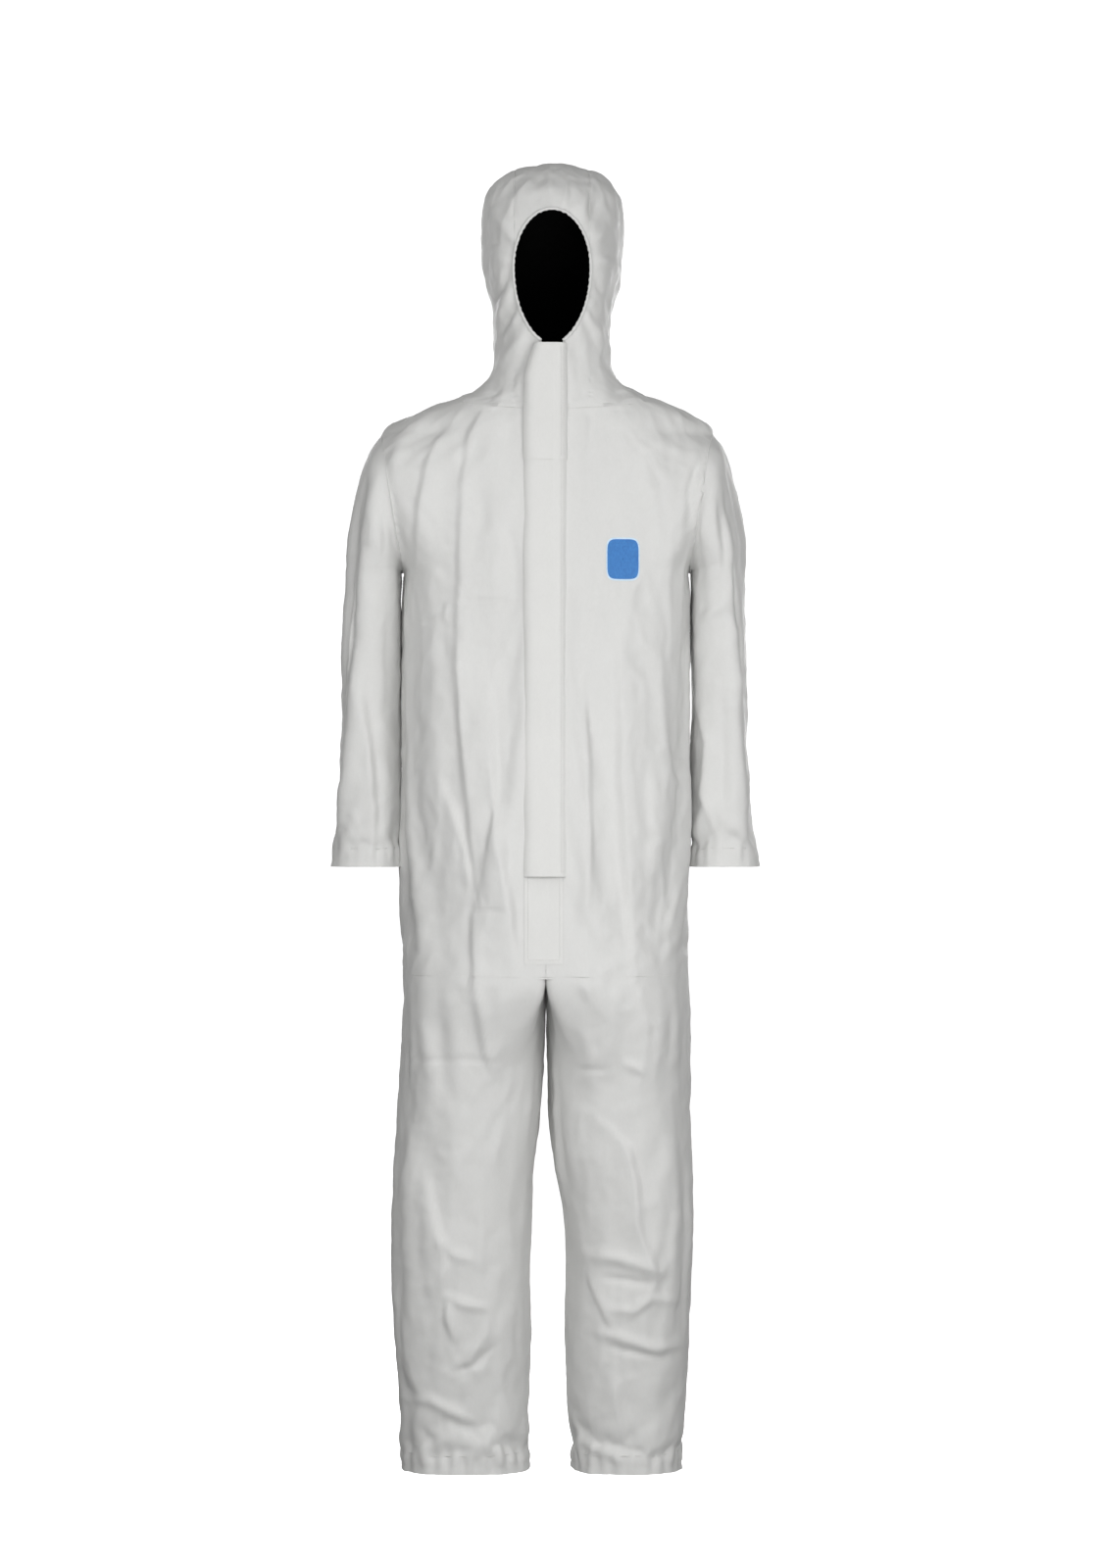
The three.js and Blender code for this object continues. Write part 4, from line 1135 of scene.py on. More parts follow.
class Nodes:
    """A procedural material, built a node at a time."""

    def __init__(self, name):
        self.material = bpy.data.materials.new(name)
        self.material.use_nodes = True
        self.tree = self.material.node_tree
        self.shader = self.tree.nodes["Principled BSDF"]
        self.height = None
        self.position = self.add("ShaderNodeTexCoord").outputs["Object"]

    def add(self, kind, **values):
        node = self.tree.nodes.new(kind)
        for key, value in values.items():
            setattr(node, key, value)
        return node

    def link(self, source, target):
        self.tree.links.new(source, target)

    def scaled(self, scale):
        mapping = self.add("ShaderNodeMapping")
        mapping.inputs["Scale"].default_value = scale
        self.link(self.position, mapping.inputs["Vector"])
        return mapping.outputs["Vector"]

    def noise(self, scale, detail=3.0, rough=0.55, stretch=(1, 1, 1), distortion=0.0, kind="FBM"):
        node = self.add("ShaderNodeTexNoise", noise_type=kind)
        node.inputs["Scale"].default_value = scale
        node.inputs["Detail"].default_value = detail
        node.inputs["Roughness"].default_value = rough
        node.inputs["Distortion"].default_value = distortion
        self.link(self.scaled(stretch), node.inputs["Vector"])
        return node.outputs["Fac"] if "Fac" in node.outputs else node.outputs[0]

    def wave(self, scale, direction="X", distortion=0.0):
        node = self.add("ShaderNodeTexWave", bands_direction=direction)
        node.inputs["Scale"].default_value = scale
        node.inputs["Distortion"].default_value = distortion
        self.link(self.position, node.inputs["Vector"])
        return node.outputs["Fac"]

    def ramp(self, source, stops):
        node = self.add("ShaderNodeValToRGB")
        ramp = node.color_ramp
        while len(ramp.elements) < len(stops):
            ramp.elements.new(0.5)
        for element, (at, colour) in zip(ramp.elements, stops):
            element.position = at
            element.color = (*colour, 1)
        self.link(source, node.inputs["Fac"])
        return node.outputs["Color"]

    def colour(self, source):
        self.link(source, self.shader.inputs["Base Color"])

    def spread(self, source, low, high):
        node = self.add("ShaderNodeMapRange")
        node.inputs["To Min"].default_value = low
        node.inputs["To Max"].default_value = high
        self.link(source, node.inputs["Value"])
        return node.outputs["Result"]

    def rough(self, source, low, high):
        self.link(self.spread(source, low, high), self.shader.inputs["Roughness"])

    def bump(self, source, distance, strength):
        node = self.add("ShaderNodeBump")
        node.inputs["Distance"].default_value = distance
        node.inputs["Strength"].default_value = strength
        self.link(source, node.inputs["Height"])
        if self.height is not None:
            self.link(self.height, node.inputs["Normal"])
        self.height = node.outputs["Normal"]
        self.link(self.height, self.shader.inputs["Normal"])

    def sheen(self, weight, roughness=0.5):
        self.shader.inputs["Sheen Weight"].default_value = weight
        self.shader.inputs["Sheen Roughness"].default_value = roughness


def nonwoven(name, dark, light, crumple_strength):
    """A flash-spun sheet: matted fibres, a fine embossed grain, and small crumples."""
    m = Nodes(name)
    fibres = m.noise(210, 5.0, 0.65, (1, 1, 0.55), 1.6)
    cloud = m.noise(9, 3.0, 0.6)
    mixed = m.add("ShaderNodeMath", operation="MULTIPLY_ADD")
    m.link(fibres, mixed.inputs[0])
    mixed.inputs[1].default_value = 0.45
    m.link(m.spread(cloud, 0.05, 0.45), mixed.inputs[2])
    middle = tuple((a + b) / 2 for a, b in zip(dark, light))
    m.colour(m.ramp(mixed.outputs[0], [(0.22, dark), (0.5, middle), (0.78, light)]))
    m.rough(fibres, 0.5, 0.68)
    m.bump(m.noise(20, 5.0, 0.55, (1, 1, 0.5), 0.4, "RIDGED_MULTIFRACTAL"), 0.006, crumple_strength)
    m.bump(m.noise(70, 2.0, 0.5, (1, 1, 0.7)), 0.0008, 0.22)
    m.bump(fibres, 0.00025, 0.3)
    m.bump(m.wave(420, "Z", 0.6), 0.00006, 0.25)
    m.sheen(0.12)
    return m.material


fabric = nonwoven("suit_fabric", (0.590, 0.590, 0.577), (0.665, 0.665, 0.653), 0.3)
# The flaps and the zip's base patch take a lighter copy of the suit fabric with weaker crumples. The lighter
# colour is painted light, for the light falling on their flat, forward-facing faces.
painted_lit_flap_fabric = nonwoven("suit_fabric_flap_painted_lit", (0.615, 0.615, 0.600), (0.690, 0.690, 0.675), 0.12)

m = Nodes("sewing_thread")
m.colour(m.ramp(m.wave(900, "Z", 2.0), [(0.2, (0.55, 0.55, 0.535)), (0.8, (0.66, 0.66, 0.65))]))
m.rough(m.noise(300), 0.5, 0.7)
m.bump(m.wave(900, "Z", 1.0), 0.0001, 0.4)
thread = m.material

m = Nodes("black_lining")
m.colour(m.ramp(m.noise(160, 4.0), [(0.3, (0.0012, 0.0012, 0.0012)), (0.75, (0.004, 0.004, 0.004))]))
m.rough(m.noise(40), 0.85, 0.97)
m.bump(m.noise(320, 2.0), 0.0002, 0.3)
m.shader.inputs["Specular IOR Level"].default_value = 0.12
lining_black = m.material

m = Nodes("elastic_band")
m.colour(m.ramp(m.wave(260, "Z", 0.3), [(0.15, (0.55, 0.55, 0.53)), (0.7, (0.70, 0.70, 0.68))]))
m.rough(m.noise(120), 0.45, 0.62)
m.bump(m.wave(260, "Z", 0.3), 0.0005, 0.5)
elastic = m.material

m = Nodes("tape_weave")
m.colour(m.ramp(m.wave(330, "DIAGONAL", 0.2), [(0.2, (0.62, 0.62, 0.605)), (0.75, (0.74, 0.74, 0.73))]))
m.rough(m.noise(90), 0.6, 0.8)
m.bump(m.wave(330, "DIAGONAL", 0.2), 0.0003, 0.45)
m.bump(m.wave(450, "Z", 0.1), 0.0002, 0.3)
tape = m.material

m = Nodes("adhesive_strip")
m.colour(m.ramp(m.noise(60, 2.0), [(0.3, (0.70, 0.70, 0.65)), (0.7, (0.80, 0.80, 0.76))]))
m.rough(m.noise(45), 0.28, 0.42)
m.bump(m.noise(80), 0.0003, 0.2)
sticky = m.material

m = Nodes("badge_blue")
woven = m.noise(240, 3.0, 0.6, (1, 1, 0.6), 1.2)
m.colour(m.ramp(woven, [(0.3, (0.020, 0.145, 0.43)), (0.7, (0.030, 0.195, 0.52))]))
m.rough(m.noise(50), 0.42, 0.58)
m.bump(m.noise(210, 4.0), 0.0002, 0.3)
badge_blue = m.material

m = Nodes("badge_border")
m.colour(m.ramp(m.noise(240, 3.0), [(0.3, (0.50, 0.66, 0.80)), (0.7, (0.60, 0.74, 0.86))]))
m.rough(m.noise(50), 0.45, 0.6)
m.bump(m.noise(210, 4.0), 0.0002, 0.3)
badge_pale = m.material

m = Nodes("zip_coil")
m.colour(m.ramp(m.noise(220, 2.0), [(0.3, (0.72, 0.72, 0.70)), (0.7, (0.80, 0.80, 0.785))]))
m.rough(m.noise(140), 0.25, 0.4)
m.bump(m.noise(500, 2.0), 0.00008, 0.3)
coil = m.material

m = Nodes("zip_enamel")
m.colour(m.ramp(m.noise(130, 4.0, 0.7), [(0.34, (0.60, 0.60, 0.585)), (0.5, (0.72, 0.72, 0.71))]))
m.rough(m.noise(300), 0.18, 0.36)
m.bump(m.noise(700, 3.0), 0.00006, 0.35)
m.shader.inputs["Coat Weight"].default_value = 0.3
enamel = m.material


def finish_piece(obj, material, moves, stands_for=()):
    obj.data.materials.clear()
    for one in material if isinstance(material, list) else [material]:
        obj.data.materials.append(one)
    if isinstance(moves, str):
        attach(obj, moves)
    else:
        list(moves)
        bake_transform(obj)
    if stands_for:
        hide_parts(*stands_for)
    return obj


HOOD_BEND = ("trunk", "hood", (0, 0.0, 0.045), (0, 0.03, 0.25))


def arm_bend(side, sign):
    apex = np.array([sign * 0.188, 0, -0.234])
    way = np.array([sign * 0.7071, 0, -0.7071])
    return (f"{side}_shoulder", f"{side}_upper_arm", tuple(apex + way * 0.002), tuple(apex + way * 0.052))


def elbow_bend(side, sign):
    return (f"{side}_upper_arm", f"{side}_forearm", (sign * 0.228, 0, -0.306), (sign * 0.228, 0, -0.424))


def hip_bend(side, sign):
    return ("trunk", f"{side}_thigh", (sign * 0.095, 0, -0.768), (sign * 0.095, 0, -0.912))


def knee_bend(side, sign):
    return (f"{side}_thigh", f"{side}_shin", (sign * 0.106, 0, -0.921), (sign * 0.106, 0, -1.117))


# name, skin, piece number, how it moves
PANELS = [
    ("front_left_panel", "trunk", 0, "trunk"), ("front_right_panel", "trunk", 1, "trunk"),
    ("back_left_panel", "trunk", 2, "trunk"), ("back_right_panel", "trunk", 3, "trunk"),
    ("collar_left", "hood", 0, HOOD_BEND), ("collar_right", "hood", 1, HOOD_BEND),
    ("hood_left_panel", "hood", 2, HOOD_BEND), ("hood_right_panel", "hood", 3, HOOD_BEND),
    ("hood_centre_panel", "hood", 4, HOOD_BEND),
]
for side, sign in SIDES.items():
    PANELS += [
        (f"{side}_sleeve_head", f"{side}_sleeve", 0, arm_bend(side, sign)),
        (f"{side}_upper_sleeve", f"{side}_sleeve", 1, arm_bend(side, sign)),
        (f"{side}_elbow", f"{side}_sleeve", 2, elbow_bend(side, sign)),
        (f"{side}_lower_sleeve", f"{side}_sleeve", 3, f"{side}_forearm"),
        (f"{side}_wrist_hem", f"{side}_sleeve", 4, f"{side}_forearm"),
        (f"{side}_hip", f"{side}_leg", 0, hip_bend(side, sign)),
        (f"{side}_thigh", f"{side}_leg", 1, hip_bend(side, sign)),
        (f"{side}_knee", f"{side}_leg", 2, knee_bend(side, sign)),
        (f"{side}_shin", f"{side}_leg", 3, f"{side}_shin"),
        (f"{side}_ankle_hem", f"{side}_leg", 4, f"{side}_shin"),
    ]

# flat width and length and the flat area of each cut, in metres
for side in ("left", "right"):
    for part, cut in (("sleeve_head", (0.300, 0.190, 0.0385)), ("upper_sleeve", (0.330, 0.080, 0.0230)),
                      ("elbow", (0.340, 0.140, 0.0420)), ("lower_sleeve", (0.320, 0.165, 0.0470)),
                      ("wrist_hem", (0.290, 0.025, 0.0067)), ("hip", (0.740, 0.105, 0.0720)),
                      ("thigh", (0.670, 0.060, 0.0375)), ("knee", (0.620, 0.203, 0.1180)),
                      ("shin", (0.560, 0.280, 0.1450)), ("ankle_hem", (0.500, 0.026, 0.0118))):
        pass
for node, skin_name, number, moves in PANELS:
    co, faces, facing = faces_of(skin_name, lambda part, x, y, z: part == number)
    obj = thick_mesh(f"fabric_{node}", co, faces, facing, FABRIC)
    finish_piece(obj, fabric, moves, stands_for=[node])

# hood lining, a black layer inside the hood and collar
co, faces, facing = faces_of("hood", lambda part, x, y, z: True)
lining = thick_mesh("hood_black_lining", co, faces, facing, 0.0005, sink=0.0022)
finish_piece(lining, lining_black, moves=HOOD_BEND, stands_for=["hood_lining"])


# fabric folded in behind the edge of each armhole; it rides on the trunk
def armhole_ease(side, sign):
    chains = lines_between("trunk", lambda a, b, x, y, z: b is None and x * sign > 175 and z > 1168)
    line, _ = max(chains, key=lambda c: len(c[0]))
    if np.linalg.norm(line[0] - line[-1]) < 1e-6:
        line = line[:-1]
    centre = np.array([0.0, 0.0042, -0.1433])
    away = (line - centre) * [0, 1, 1]
    reach = np.linalg.norm(away, axis=1)[:, None]
    least = np.minimum(0.060, 0.9 * reach)
    rings = []
    for t, sink in ((0.02, 0.0016), (0.25, 0.0034), (0.5, 0.0040), (0.75, 0.0040), (1.0, 0.0036)):
        ring = line - away / reach * (reach - least) * t
        ring[:, 0] -= sign * sink
        rings.append(ring)
    faces = grid_faces(np.array(rings), True)
    co = np.concatenate(rings)
    a, b, c = co[faces[0][0]], co[faces[0][1]], co[faces[0][2]]
    if np.cross(b - a, c - b)[0] * sign < 0:
        faces = [f[::-1] for f in faces]
    facing = np.tile([float(sign), 0.0, 0.0], (len(co), 1))
    obj = thick_mesh(f"{side}_armhole_ease", co, faces, facing, FABRIC)
    finish_piece(obj, fabric, "trunk")


for side, sign in SIDES.items():
    armhole_ease(side, sign)


# elastic bands inside the hems and the back of the waist
def inner_band(name, skin_name, test, body, node):
    co, faces, facing = faces_of(skin_name, test)
    obj = thick_mesh(name, co, faces, facing, 0.0009, sink=0.0012)
    finish_piece(obj, elastic, body, stands_for=[node])


inner_band("waist_elastic_band", "trunk",
           lambda part, x, y, z: part >= 2 and abs(z - WAIST) < 9, "trunk", "waist_elastic")
for side in SIDES:
    inner_band(f"{side}_wrist_elastic_band", f"{side}_sleeve",
               lambda part, x, y, z: part == 4 and 801 < z < 812, f"{side}_forearm", f"{side}_wrist_elastic")
    inner_band(f"{side}_ankle_elastic_band", f"{side}_leg",
               lambda part, x, y, z: part == 4 and 7 < z < 18, f"{side}_shin", f"{side}_ankle_elastic")


# the rim of the face opening, a gathered tunnel with the elastic cord in it
def face_rim():
    chains = lines_between("hood", lambda a, b, x, y, z: b is None and y < 0 and z > 1481
                           and float(oval_polar(np.array(x - SWAY_X), np.array(z))) < 1.06)
    line, facing = max(chains, key=lambda c: len(c[0]))
    points, out = resample(line, facing, 0.0028)
    centre = points.mean(axis=0)
    along = np.gradient(points, axis=0)
    along /= np.linalg.norm(along, axis=1)[:, None]
    inward = np.cross(along, out)
    inward /= np.linalg.norm(inward, axis=1)[:, None]
    if ((centre - points) * inward).sum() < 0:
        inward = -inward
    count = 10
    rings = []
    for i in range(len(points)):
        s = i * 0.0028
        ruffle = 1 + 0.22 * math.sin(s * 1450) + 0.12 * math.sin(s * 613 + 1)
        radius = 0.0021 * ruffle
        shift = out[i] * (0.0004 + 0.0003 * math.sin(s * 1450 + 2)) - inward[i] * 0.0006
        rings.append([
            points[i] + shift + (inward[i] * math.cos(t) + out[i] * 0.8 * math.sin(t)) * radius
            for t in np.linspace(0, 2 * math.pi, count + 1)[:-1]
        ])
    rings = np.array(rings)
    faces = grid_faces(rings, True)
    faces += [tuple(range(count))[::-1], tuple((len(rings) - 1) * count + j for j in range(count))]
    return smooth_shaded(mesh_object("face_rim", rings.reshape(-1, 3), faces))


rim = face_rim()
finish_piece(rim, fabric, moves=HOOD_BEND, stands_for=["face_elastic"])


# ---------------------------------------------------------------- flaps, patch and badge


def zip_point(x, out, up):
    """A point from its place along the zip: x, distance out of the front, and distance up from the chin."""
    c, s = math.cos(ZIP_LEAN), math.sin(ZIP_LEAN)
    return np.stack([x, ZIP_Y - out * c + up * s, CHIN + out * s + up * c], axis=-1)


FLAP_LEFT, FLAP_RIGHT = -29.0, 26.5
STITCH_ROWS = (19.5, 23.0)
STORM_RISE, STORM_SEED = 6.6, 0.4
CHIN_RISE, CHIN_SEED, CHIN_RIGHT = 7.6, 2.1, 27.5


def flap_shape(x, up, left, right, rise, seed):
    """How far a flap stands off the zip's line: flat over the zip, and soft towards its edges."""
    share = (x - left) / (right - left)
    crown = (1 - np.abs(2 * share - 1) ** 5)
    wave = np.sin(up / 61.0 + seed) * 0.5 + np.sin(up / 23.0 + 2 * seed) * 0.25
    free = np.exp(-share / 0.2)
    groove = sum(-0.35 * np.exp(-((x - at) ** 2)) for at in STITCH_ROWS)
    edge_line = 0.45 * np.exp(-(((x - 9.5) / 2.4) ** 2)) * np.clip((up + 340) / 60, 0, 1)
    return 0.9 + rise * crown + 0.55 * wave * crown + free * (0.5 + 0.5 * wave) + groove + edge_line


def fabric_on_grid(name, grid, thickness):
    """A layer of fabric on a grid of places, facing the front."""
    co, faces = row(grid.reshape(-1, 3)), grid_faces(grid)
    flat = mesh_object("scratch", co, faces)
    facing = normals(flat).copy()
    bpy.data.objects.remove(flat)
    if facing[:, 1].mean() > 0:
        facing, faces = -facing, [f[::-1] for f in faces]
    return thick_mesh(name, co, faces, facing, thickness)


def flap(name, low, high, left_at, right, rise, seed):
    ups = np.linspace(low, high, int((high - low) / 2.2) + 1)
    across = int((right - FLAP_LEFT) / 1.6)
    grid = []
    for up in ups:
        left = left_at(up) + 0.6 * math.sin(up / 37.0 + seed) + 0.35 * math.sin(up / 13.0)
        x = np.linspace(left, right, across + 1)
        out = flap_shape(x, up, left, right, rise, seed)
        grid.append(zip_point(x, out, np.full_like(x, up)))
    return fabric_on_grid(name, np.array(grid), 0.0007)


def along_zip(z):
    return (z - CHIN) / math.cos(ZIP_LEAN)


FLAP_TOP, FLAP_FOOT = along_zip(1326.0), along_zip(784.0)
storm = flap("storm_flap_fabric", FLAP_FOOT, FLAP_TOP + 3, lambda up: FLAP_LEFT, FLAP_RIGHT,
             STORM_RISE, STORM_SEED)
finish_piece(storm, painted_lit_flap_fabric, "storm_flap", stands_for=["storm_flap"])


def chin_left(up):
    return float(np.interp(up, [-60, -38, 1.5], [FLAP_LEFT, -28.0, -16.0]))


chin = flap("chin_flap_fabric", FLAP_TOP - 1, 1.5, chin_left, CHIN_RIGHT, CHIN_RISE, CHIN_SEED)
finish_piece(chin, painted_lit_flap_fabric, "chin_flap", stands_for=["chin_flap"])


def adhesive(name, low, high, rise, seed, body, node):
    ups = np.linspace(low, high, max(2, int((high - low) / 6)))
    grid = []
    for up in ups:
        x = np.linspace(-24.0, -12.0, 7)
        out = flap_shape(x, up, FLAP_LEFT, FLAP_RIGHT, rise, seed) - 1.0
        grid.append(zip_point(x, out, np.full_like(x, up)))
    grid = np.array(grid)
    co = row(grid.reshape(-1, 3))
    obj = thick_mesh(name, co, grid_faces(grid), np.tile([0.0, -1.0, 0.0], (len(co), 1)), 0.0004)
    finish_piece(obj, sticky, body, stands_for=[node])


adhesive("storm_flap_adhesive_strip", FLAP_FOOT + 6, FLAP_TOP - 6, STORM_RISE, STORM_SEED,
         "storm_flap", "storm_flap_adhesive")
adhesive("chin_flap_adhesive_strip", FLAP_TOP + 8, -44.0, CHIN_RISE, CHIN_SEED,
         "chin_flap", "chin_flap_adhesive")



def front_surface():
    """The front of the body and legs, for laying pieces on."""
    points, faces = [], []
    for name in ("trunk", "left_leg", "right_leg"):
        base = len(points)
        faces += [tuple(v + base for v in p.vertices) for p in objects[name].data.polygons]
        points += [tuple(v) for v in coordinates(objects[name])]
    return BVHTree.FromPolygons(points, faces)


surface = front_surface()


def laid(xs, zs, lift):
    """Points laid on the front of the suit, lift millimetres above it; it bridges the zip's opening."""
    out = []
    for x, z in zip(np.ravel(xs), np.ravel(zs)):
        hit, _, _, _ = surface.ray_cast(Vector((x / 1000, -0.5, (z - NECK) / 1000)), Vector((0, 1, 0)))
        y = hit.y * 1000 if hit else zip_y(z)
        if abs(x) < 30:
            y = min(y, zip_y(z) + (0.5 if abs(x) < 14 and z > 735 else 6.0))
        out.append((x, y - lift, z))
    return np.array(out).reshape(*np.shape(xs), 3)


def soften(grid, times):
    for _ in range(times):
        y = grid[..., 1].copy()
        y[1:-1, 1:-1] = (y[1:-1, 1:-1] * 2 + y[:-2, 1:-1] + y[2:, 1:-1] + y[1:-1, :-2] + y[1:-1, 2:]) / 6
        grid[..., 1] = np.minimum(grid[..., 1], y)
    return grid


zs, xs = np.meshgrid(np.linspace(672, 792, 50), np.linspace(-27.5, 22, 24), indexing="ij")
patch_grid = soften(laid(xs, zs, 0.9), 6)
patch = fabric_on_grid("zip_base_patch_fabric", patch_grid, FABRIC)
finish_piece(patch, painted_lit_flap_fabric, "trunk", stands_for=["zip_base_patch"])

(low, high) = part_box("chest_badge")
BADGE_X, BADGE_Z = (low[0] + high[0]) * 500, (low[2] + high[2]) * 500 + NECK
BADGE_W, BADGE_H = (high[0] - low[0]) * 500, (high[2] - low[2]) * 500
rings = np.linspace(0, 1, 15)
turns = np.linspace(0, 2 * math.pi, 97)[:-1]


def rounded(t):
    """The badge's outline is a rectangle with well rounded corners."""
    c, s = math.cos(t), math.sin(t)
    k = (abs(c) ** 5 + abs(s) ** 5) ** (-1 / 5)
    return c * k, s * k


outline_points = np.array([rounded(t) for t in turns])
xs = BADGE_X + np.outer(rings, outline_points[:, 0]) * BADGE_W
zs = BADGE_Z + np.outer(rings, outline_points[:, 1]) * BADGE_H
grid = laid(xs, zs, 0.55)
co = row(grid.reshape(-1, 3))
co[: len(turns)] = co[: len(turns)].mean(axis=0)
faces = [f[::-1] for f in grid_faces(grid, True)]
badge = thick_mesh("chest_badge_label", co, faces, np.tile([0.0, -1.0, 0.0], (len(co), 1)), 0.0005)
with editing(badge) as bm:
    bmesh.ops.remove_doubles(bm, verts=bm.verts[:], dist=1e-6)
    bmesh.ops.recalc_face_normals(bm, faces=bm.faces[:])
finish_piece(badge, [badge_blue, badge_pale], "trunk", stands_for=["chest_badge"])
for p in badge.data.polygons:
    c = p.center * 1000
    u, v = (c.x - BADGE_X) / BADGE_W, (c.z + NECK - BADGE_Z) / BADGE_H
    p.material_index = 1 if (abs(u) ** 5 + abs(v) ** 5) ** 0.2 > 0.93 else 0

# ---------------------------------------------------------------- zip


def zip_coil(side, sign):
    """A row of small interlocking loops, each a bent bead of plastic round the tape's edge."""
    vertices, faces = [], []
    pitch = 1.7
    ups = np.arange(6.5 - 688 + (0.5 * pitch if sign < 0 else 0), -9.5, pitch)
    count = 6
    for up in ups:
        base = len(vertices)
        path = [(3.1, 2.9), (1.2, 2.8), (-0.4, 3.3), (-0.45, 4.9), (1.2, 5.5), (3.1, 5.4)]
        for k, (x, back) in enumerate(path):
            radius = [0.42, 0.5, 0.58, 0.58, 0.5, 0.42][k]
            for j in range(count):
                t = 2 * math.pi * j / count
                if k in (2, 3):
                    point = (x + radius * math.cos(t), -back, up + radius * math.sin(t))
                else:
                    point = (x, -(back + radius * math.cos(t)), up + radius * math.sin(t))
                vertices.append(zip_point(np.array(sign * point[0]), np.array(point[1]), np.array(point[2])))
        for k in range(len(path) - 1):
            for j in range(count):
                a, b = base + k * count + j, base + k * count + (j + 1) % count
                faces.append((a, b, b + count, a + count))
        faces.append(tuple(base + j for j in range(count))[::-1])
        faces.append(tuple(base + (len(path) - 1) * count + j for j in range(count)))
    obj = mesh_object(f"zip_coil_{side}", row(np.array(vertices)), faces)
    with editing(obj) as bm:
        bmesh.ops.recalc_face_normals(bm, faces=bm.faces[:])
    finish_piece(smooth_shaded(obj), coil, "trunk", stands_for=[f"zip_teeth_{side}"])


for side, sign in SIDES.items():
    zip_coil(side, sign)

# pieces that keep the CAD mesh
CAD_LOOKS = {
    "zip_tape_left": tape, "zip_tape_right": tape, "zip_top_stop_left": coil, "zip_top_stop_right": coil,
    "zip_bottom_stop": coil, "zip_slider": enamel, "zip_pull_tab": enamel, "crotch_gusset": fabric,
}
for node, material in CAD_LOOKS.items():
    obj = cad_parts[node]
    obj.data.materials.clear()
    obj.data.materials.append(material)
    if node in ("zip_slider", "zip_pull_tab"):
        modifier = obj.modifiers.new("Edges", "BEVEL")
        modifier.width = 0.00025
        modifier.segments = 2

# ---------------------------------------------------------------- seams


def joins(skin, pairs, near=lambda x, y, z: True):
    """Lines along the joins between pairs of a skin's numbered pieces; a piece meets itself front to back."""
    def is_join(a, b, x, y, z):
        return b is not None and (a // 2, b // 2) in pairs and near(x, y, z)

    return lines_between(skin, is_join)


def rims(skin, near):
    return lines_between(skin, lambda a, b, x, y, z: b is None and near(x, y, z))


def add_seam(name, lines, moves, **shape):
    finish_piece(seam(name, lines, **shape), [thread], moves)


add_seam("seam_sides", joins("trunk", ((0, 2), (1, 3))), "trunk")
add_seam("seam_back", joins("trunk", ((2, 3),)), "trunk")
add_seam("seam_armholes", rims("trunk", lambda x, y, z: abs(x) > 180 and z > 1182), "trunk",
         width=1.5, height=0.6)
add_seam("seam_neck", rims("trunk", lambda x, y, z: 9 < abs(x) < 110 and z > 1385), "trunk")
add_seam("seam_hood", joins("hood", ((0, 4), (1, 4), (2, 4), (3, 4))), HOOD_BEND)
for side, sign in SIDES.items():
    sleeve, leg = f"{side}_sleeve", f"{side}_leg"

    def under(*pieces):
        """The seam along the sleeve's inner side."""
        lines = []
        for piece in pieces:
            lines += joins(sleeve, ((piece, piece),), lambda x, y, z: x * sign < 230)
        return lines

    add_seam(f"seam_{side}_upper_sleeve", under(1), arm_bend(side, sign))
    add_seam(f"seam_{side}_elbow", under(2), elbow_bend(side, sign))
    add_seam(f"seam_{side}_lower_sleeve", under(3, 4), f"{side}_forearm")
    add_seam(f"stitch_{side}_wrist_hem", joins(sleeve, ((3, 4),)), f"{side}_forearm", width=0.8, height=0.25)
    add_seam(f"seam_{side}_thigh", joins(leg, ((0, 0), (1, 1))), hip_bend(side, sign))
    add_seam(f"seam_{side}_knee", joins(leg, ((2, 2),)), knee_bend(side, sign))
    add_seam(f"seam_{side}_shin", joins(leg, ((3, 3), (4, 4))), f"{side}_shin")
    add_seam(f"stitch_{side}_ankle_hem", joins(leg, ((3, 4),)), f"{side}_shin", width=0.8, height=0.25)


def grid_line(x, low, high, left_at, rise, seed, right=FLAP_RIGHT):
    """A row of stitches up a flap."""
    points = []
    for up in np.arange(low, high, 4.0):
        out = flap_shape(np.array(x), up, left_at(up), right, rise, seed) + 0.1
        points.append(zip_point(np.array(x), out, np.array(up)))
    return row(np.array(points)), np.tile([0.0, -1.0, 0.0], (len(points), 1))


FLAP_STITCH = {"width": 0.5, "height": 0.12}
storm_rows = [grid_line(x, FLAP_FOOT + 5, FLAP_TOP, lambda up: FLAP_LEFT, STORM_RISE, STORM_SEED)
              for x in STITCH_ROWS]
chin_rows = [grid_line(x, FLAP_TOP + 3, -2.0, chin_left, CHIN_RISE, CHIN_SEED, CHIN_RIGHT)
             for x in STITCH_ROWS]
patch_rows = [(row(c), np.tile([0.0, -1.0, 0.0], (len(c), 1)))
              for c in (patch_grid[3:-3, 2], patch_grid[3:-3, -3], patch_grid[2, 2:-2])]
add_seam("stitch_storm_flap", storm_rows, "storm_flap", **FLAP_STITCH)
add_seam("stitch_chin_flap", chin_rows, "chin_flap", **FLAP_STITCH)
add_seam("stitch_base_patch", patch_rows, "trunk", **FLAP_STITCH)

for obj in objects.values():
    bpy.data.objects.remove(obj)

# ---------------------------------------------------------------- camera, light and floor

camera = bpy.data.objects.new("camera", bpy.data.cameras.new("camera"))
bpy.context.scene.collection.objects.link(camera)
CAMERA_Y, FRONT_Y, VIEW_HEIGHT, SENSOR = -6.0, -0.12, 2.032, 36
camera.location = (0.002, CAMERA_Y, -0.515)
camera.rotation_euler = (math.pi / 2, 0, 0)
camera.data.sensor_fit = "VERTICAL"
camera.data.sensor_height = SENSOR
camera.data.lens = SENSOR * (FRONT_Y - CAMERA_Y) / VIEW_HEIGHT
bpy.context.scene.camera = camera
bpy.context.scene.view_settings.view_transform = "Standard"

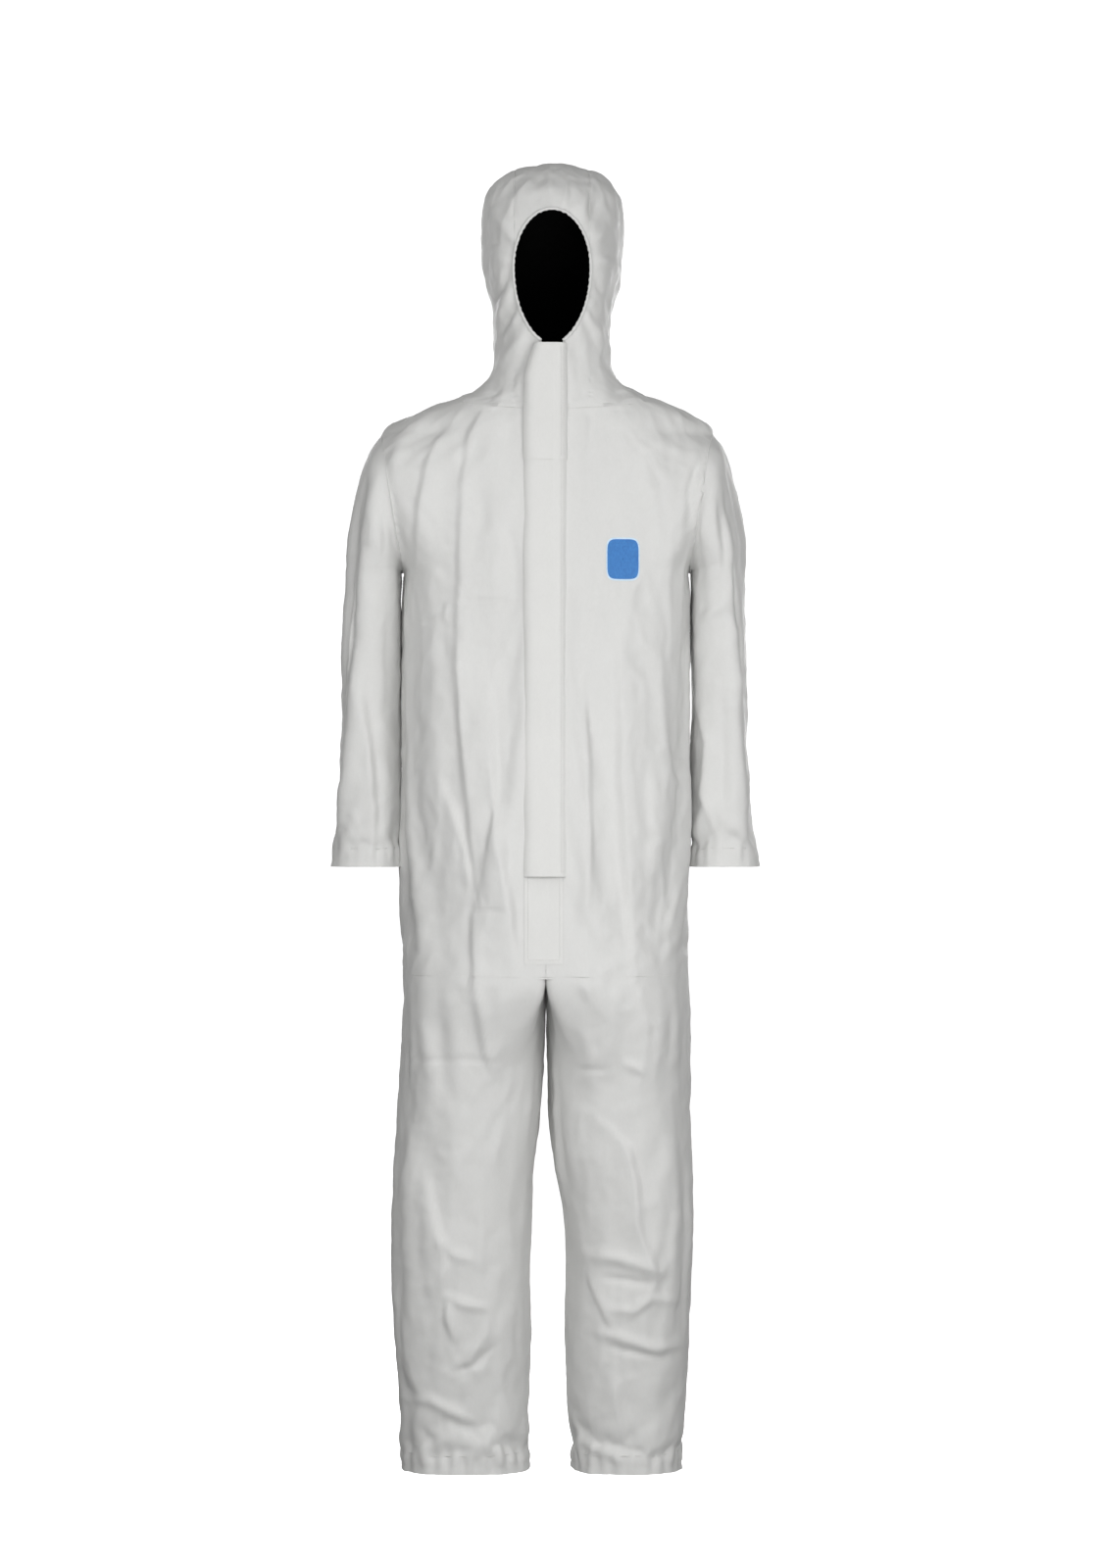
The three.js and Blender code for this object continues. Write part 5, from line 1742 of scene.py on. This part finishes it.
m = Nodes("studio_white")
m.colour(m.ramp(m.noise(0.5, 1.0), [(0.0, (0.9, 0.9, 0.9)), (1.0, (0.92, 0.92, 0.92))]))
m.shader.inputs["Roughness"].default_value = 0.9
m.shader.inputs["Emission Color"].default_value = (1, 1, 1, 1)
m.shader.inputs["Emission Strength"].default_value = 1.0
floor = mesh_object("floor", [(-9, -9, -1.56), (9, -9, -1.56), (9, 9, -1.56), (-9, 9, -1.56)], [(0, 1, 2, 3)])
wall = mesh_object("backdrop", [(x, y, z) for z in (-1.6, 6) for x, y in ((-9, -9), (9, -9), (9, 9), (-9, 9))],
                   [(0, 1, 5, 4), (1, 2, 6, 5), (2, 3, 7, 6), (3, 0, 4, 7)])
for obj in (floor, wall):
    obj.data.materials.append(m.material)
    obj.visible_diffuse = obj.visible_glossy = False

world = bpy.data.worlds.new("studio")
bpy.context.scene.world = world
world.use_nodes = True
soft = world.node_tree.nodes["Background"]
soft.inputs["Color"].default_value = (1, 1, 1, 1)
soft.inputs["Strength"].default_value = 0.16


def area_light(name, place_at, target, size, power):
    light = bpy.data.objects.new(name, bpy.data.lights.new(name, "AREA"))
    bpy.context.scene.collection.objects.link(light)
    light.location = place_at
    light.rotation_euler = (Vector(target) - Vector(place_at)).to_track_quat("-Z", "Y").to_euler()
    light.data.size = size
    light.data.energy = power


area_light("key", (1.3, -1.9, -0.1), (0, 0, -0.4), 0.9, 16)
area_light("fill", (-1.3, -2.0, -0.1), (0, 0, -0.4), 1.0, 16)
area_light("front", (0.2, -2.3, -0.3), (0, 0, -0.4), 0.9, 4)
area_light("low", (0.25, -2.2, -1.25), (0, 0, -1.12), 0.9, 17)
area_light("top", (0.0, -0.9, 1.5), (0, 0, -0.3), 1.2, 5.3)
area_light("side", (2.4, -1.3, 0.0), (0, 0, -0.4), 0.9, 6)
area_light("upper", (-1.0, -1.5, 0.9), (0, 0, -0.3), 0.7, 3.5)
area_light("rear_left", (-0.8, 2.5, 0.1), (0, 0, -0.5), 1.3, 30)
area_light("rear_right", (1.0, 2.5, 0.0), (0, 0, -0.5), 1.3, 34)
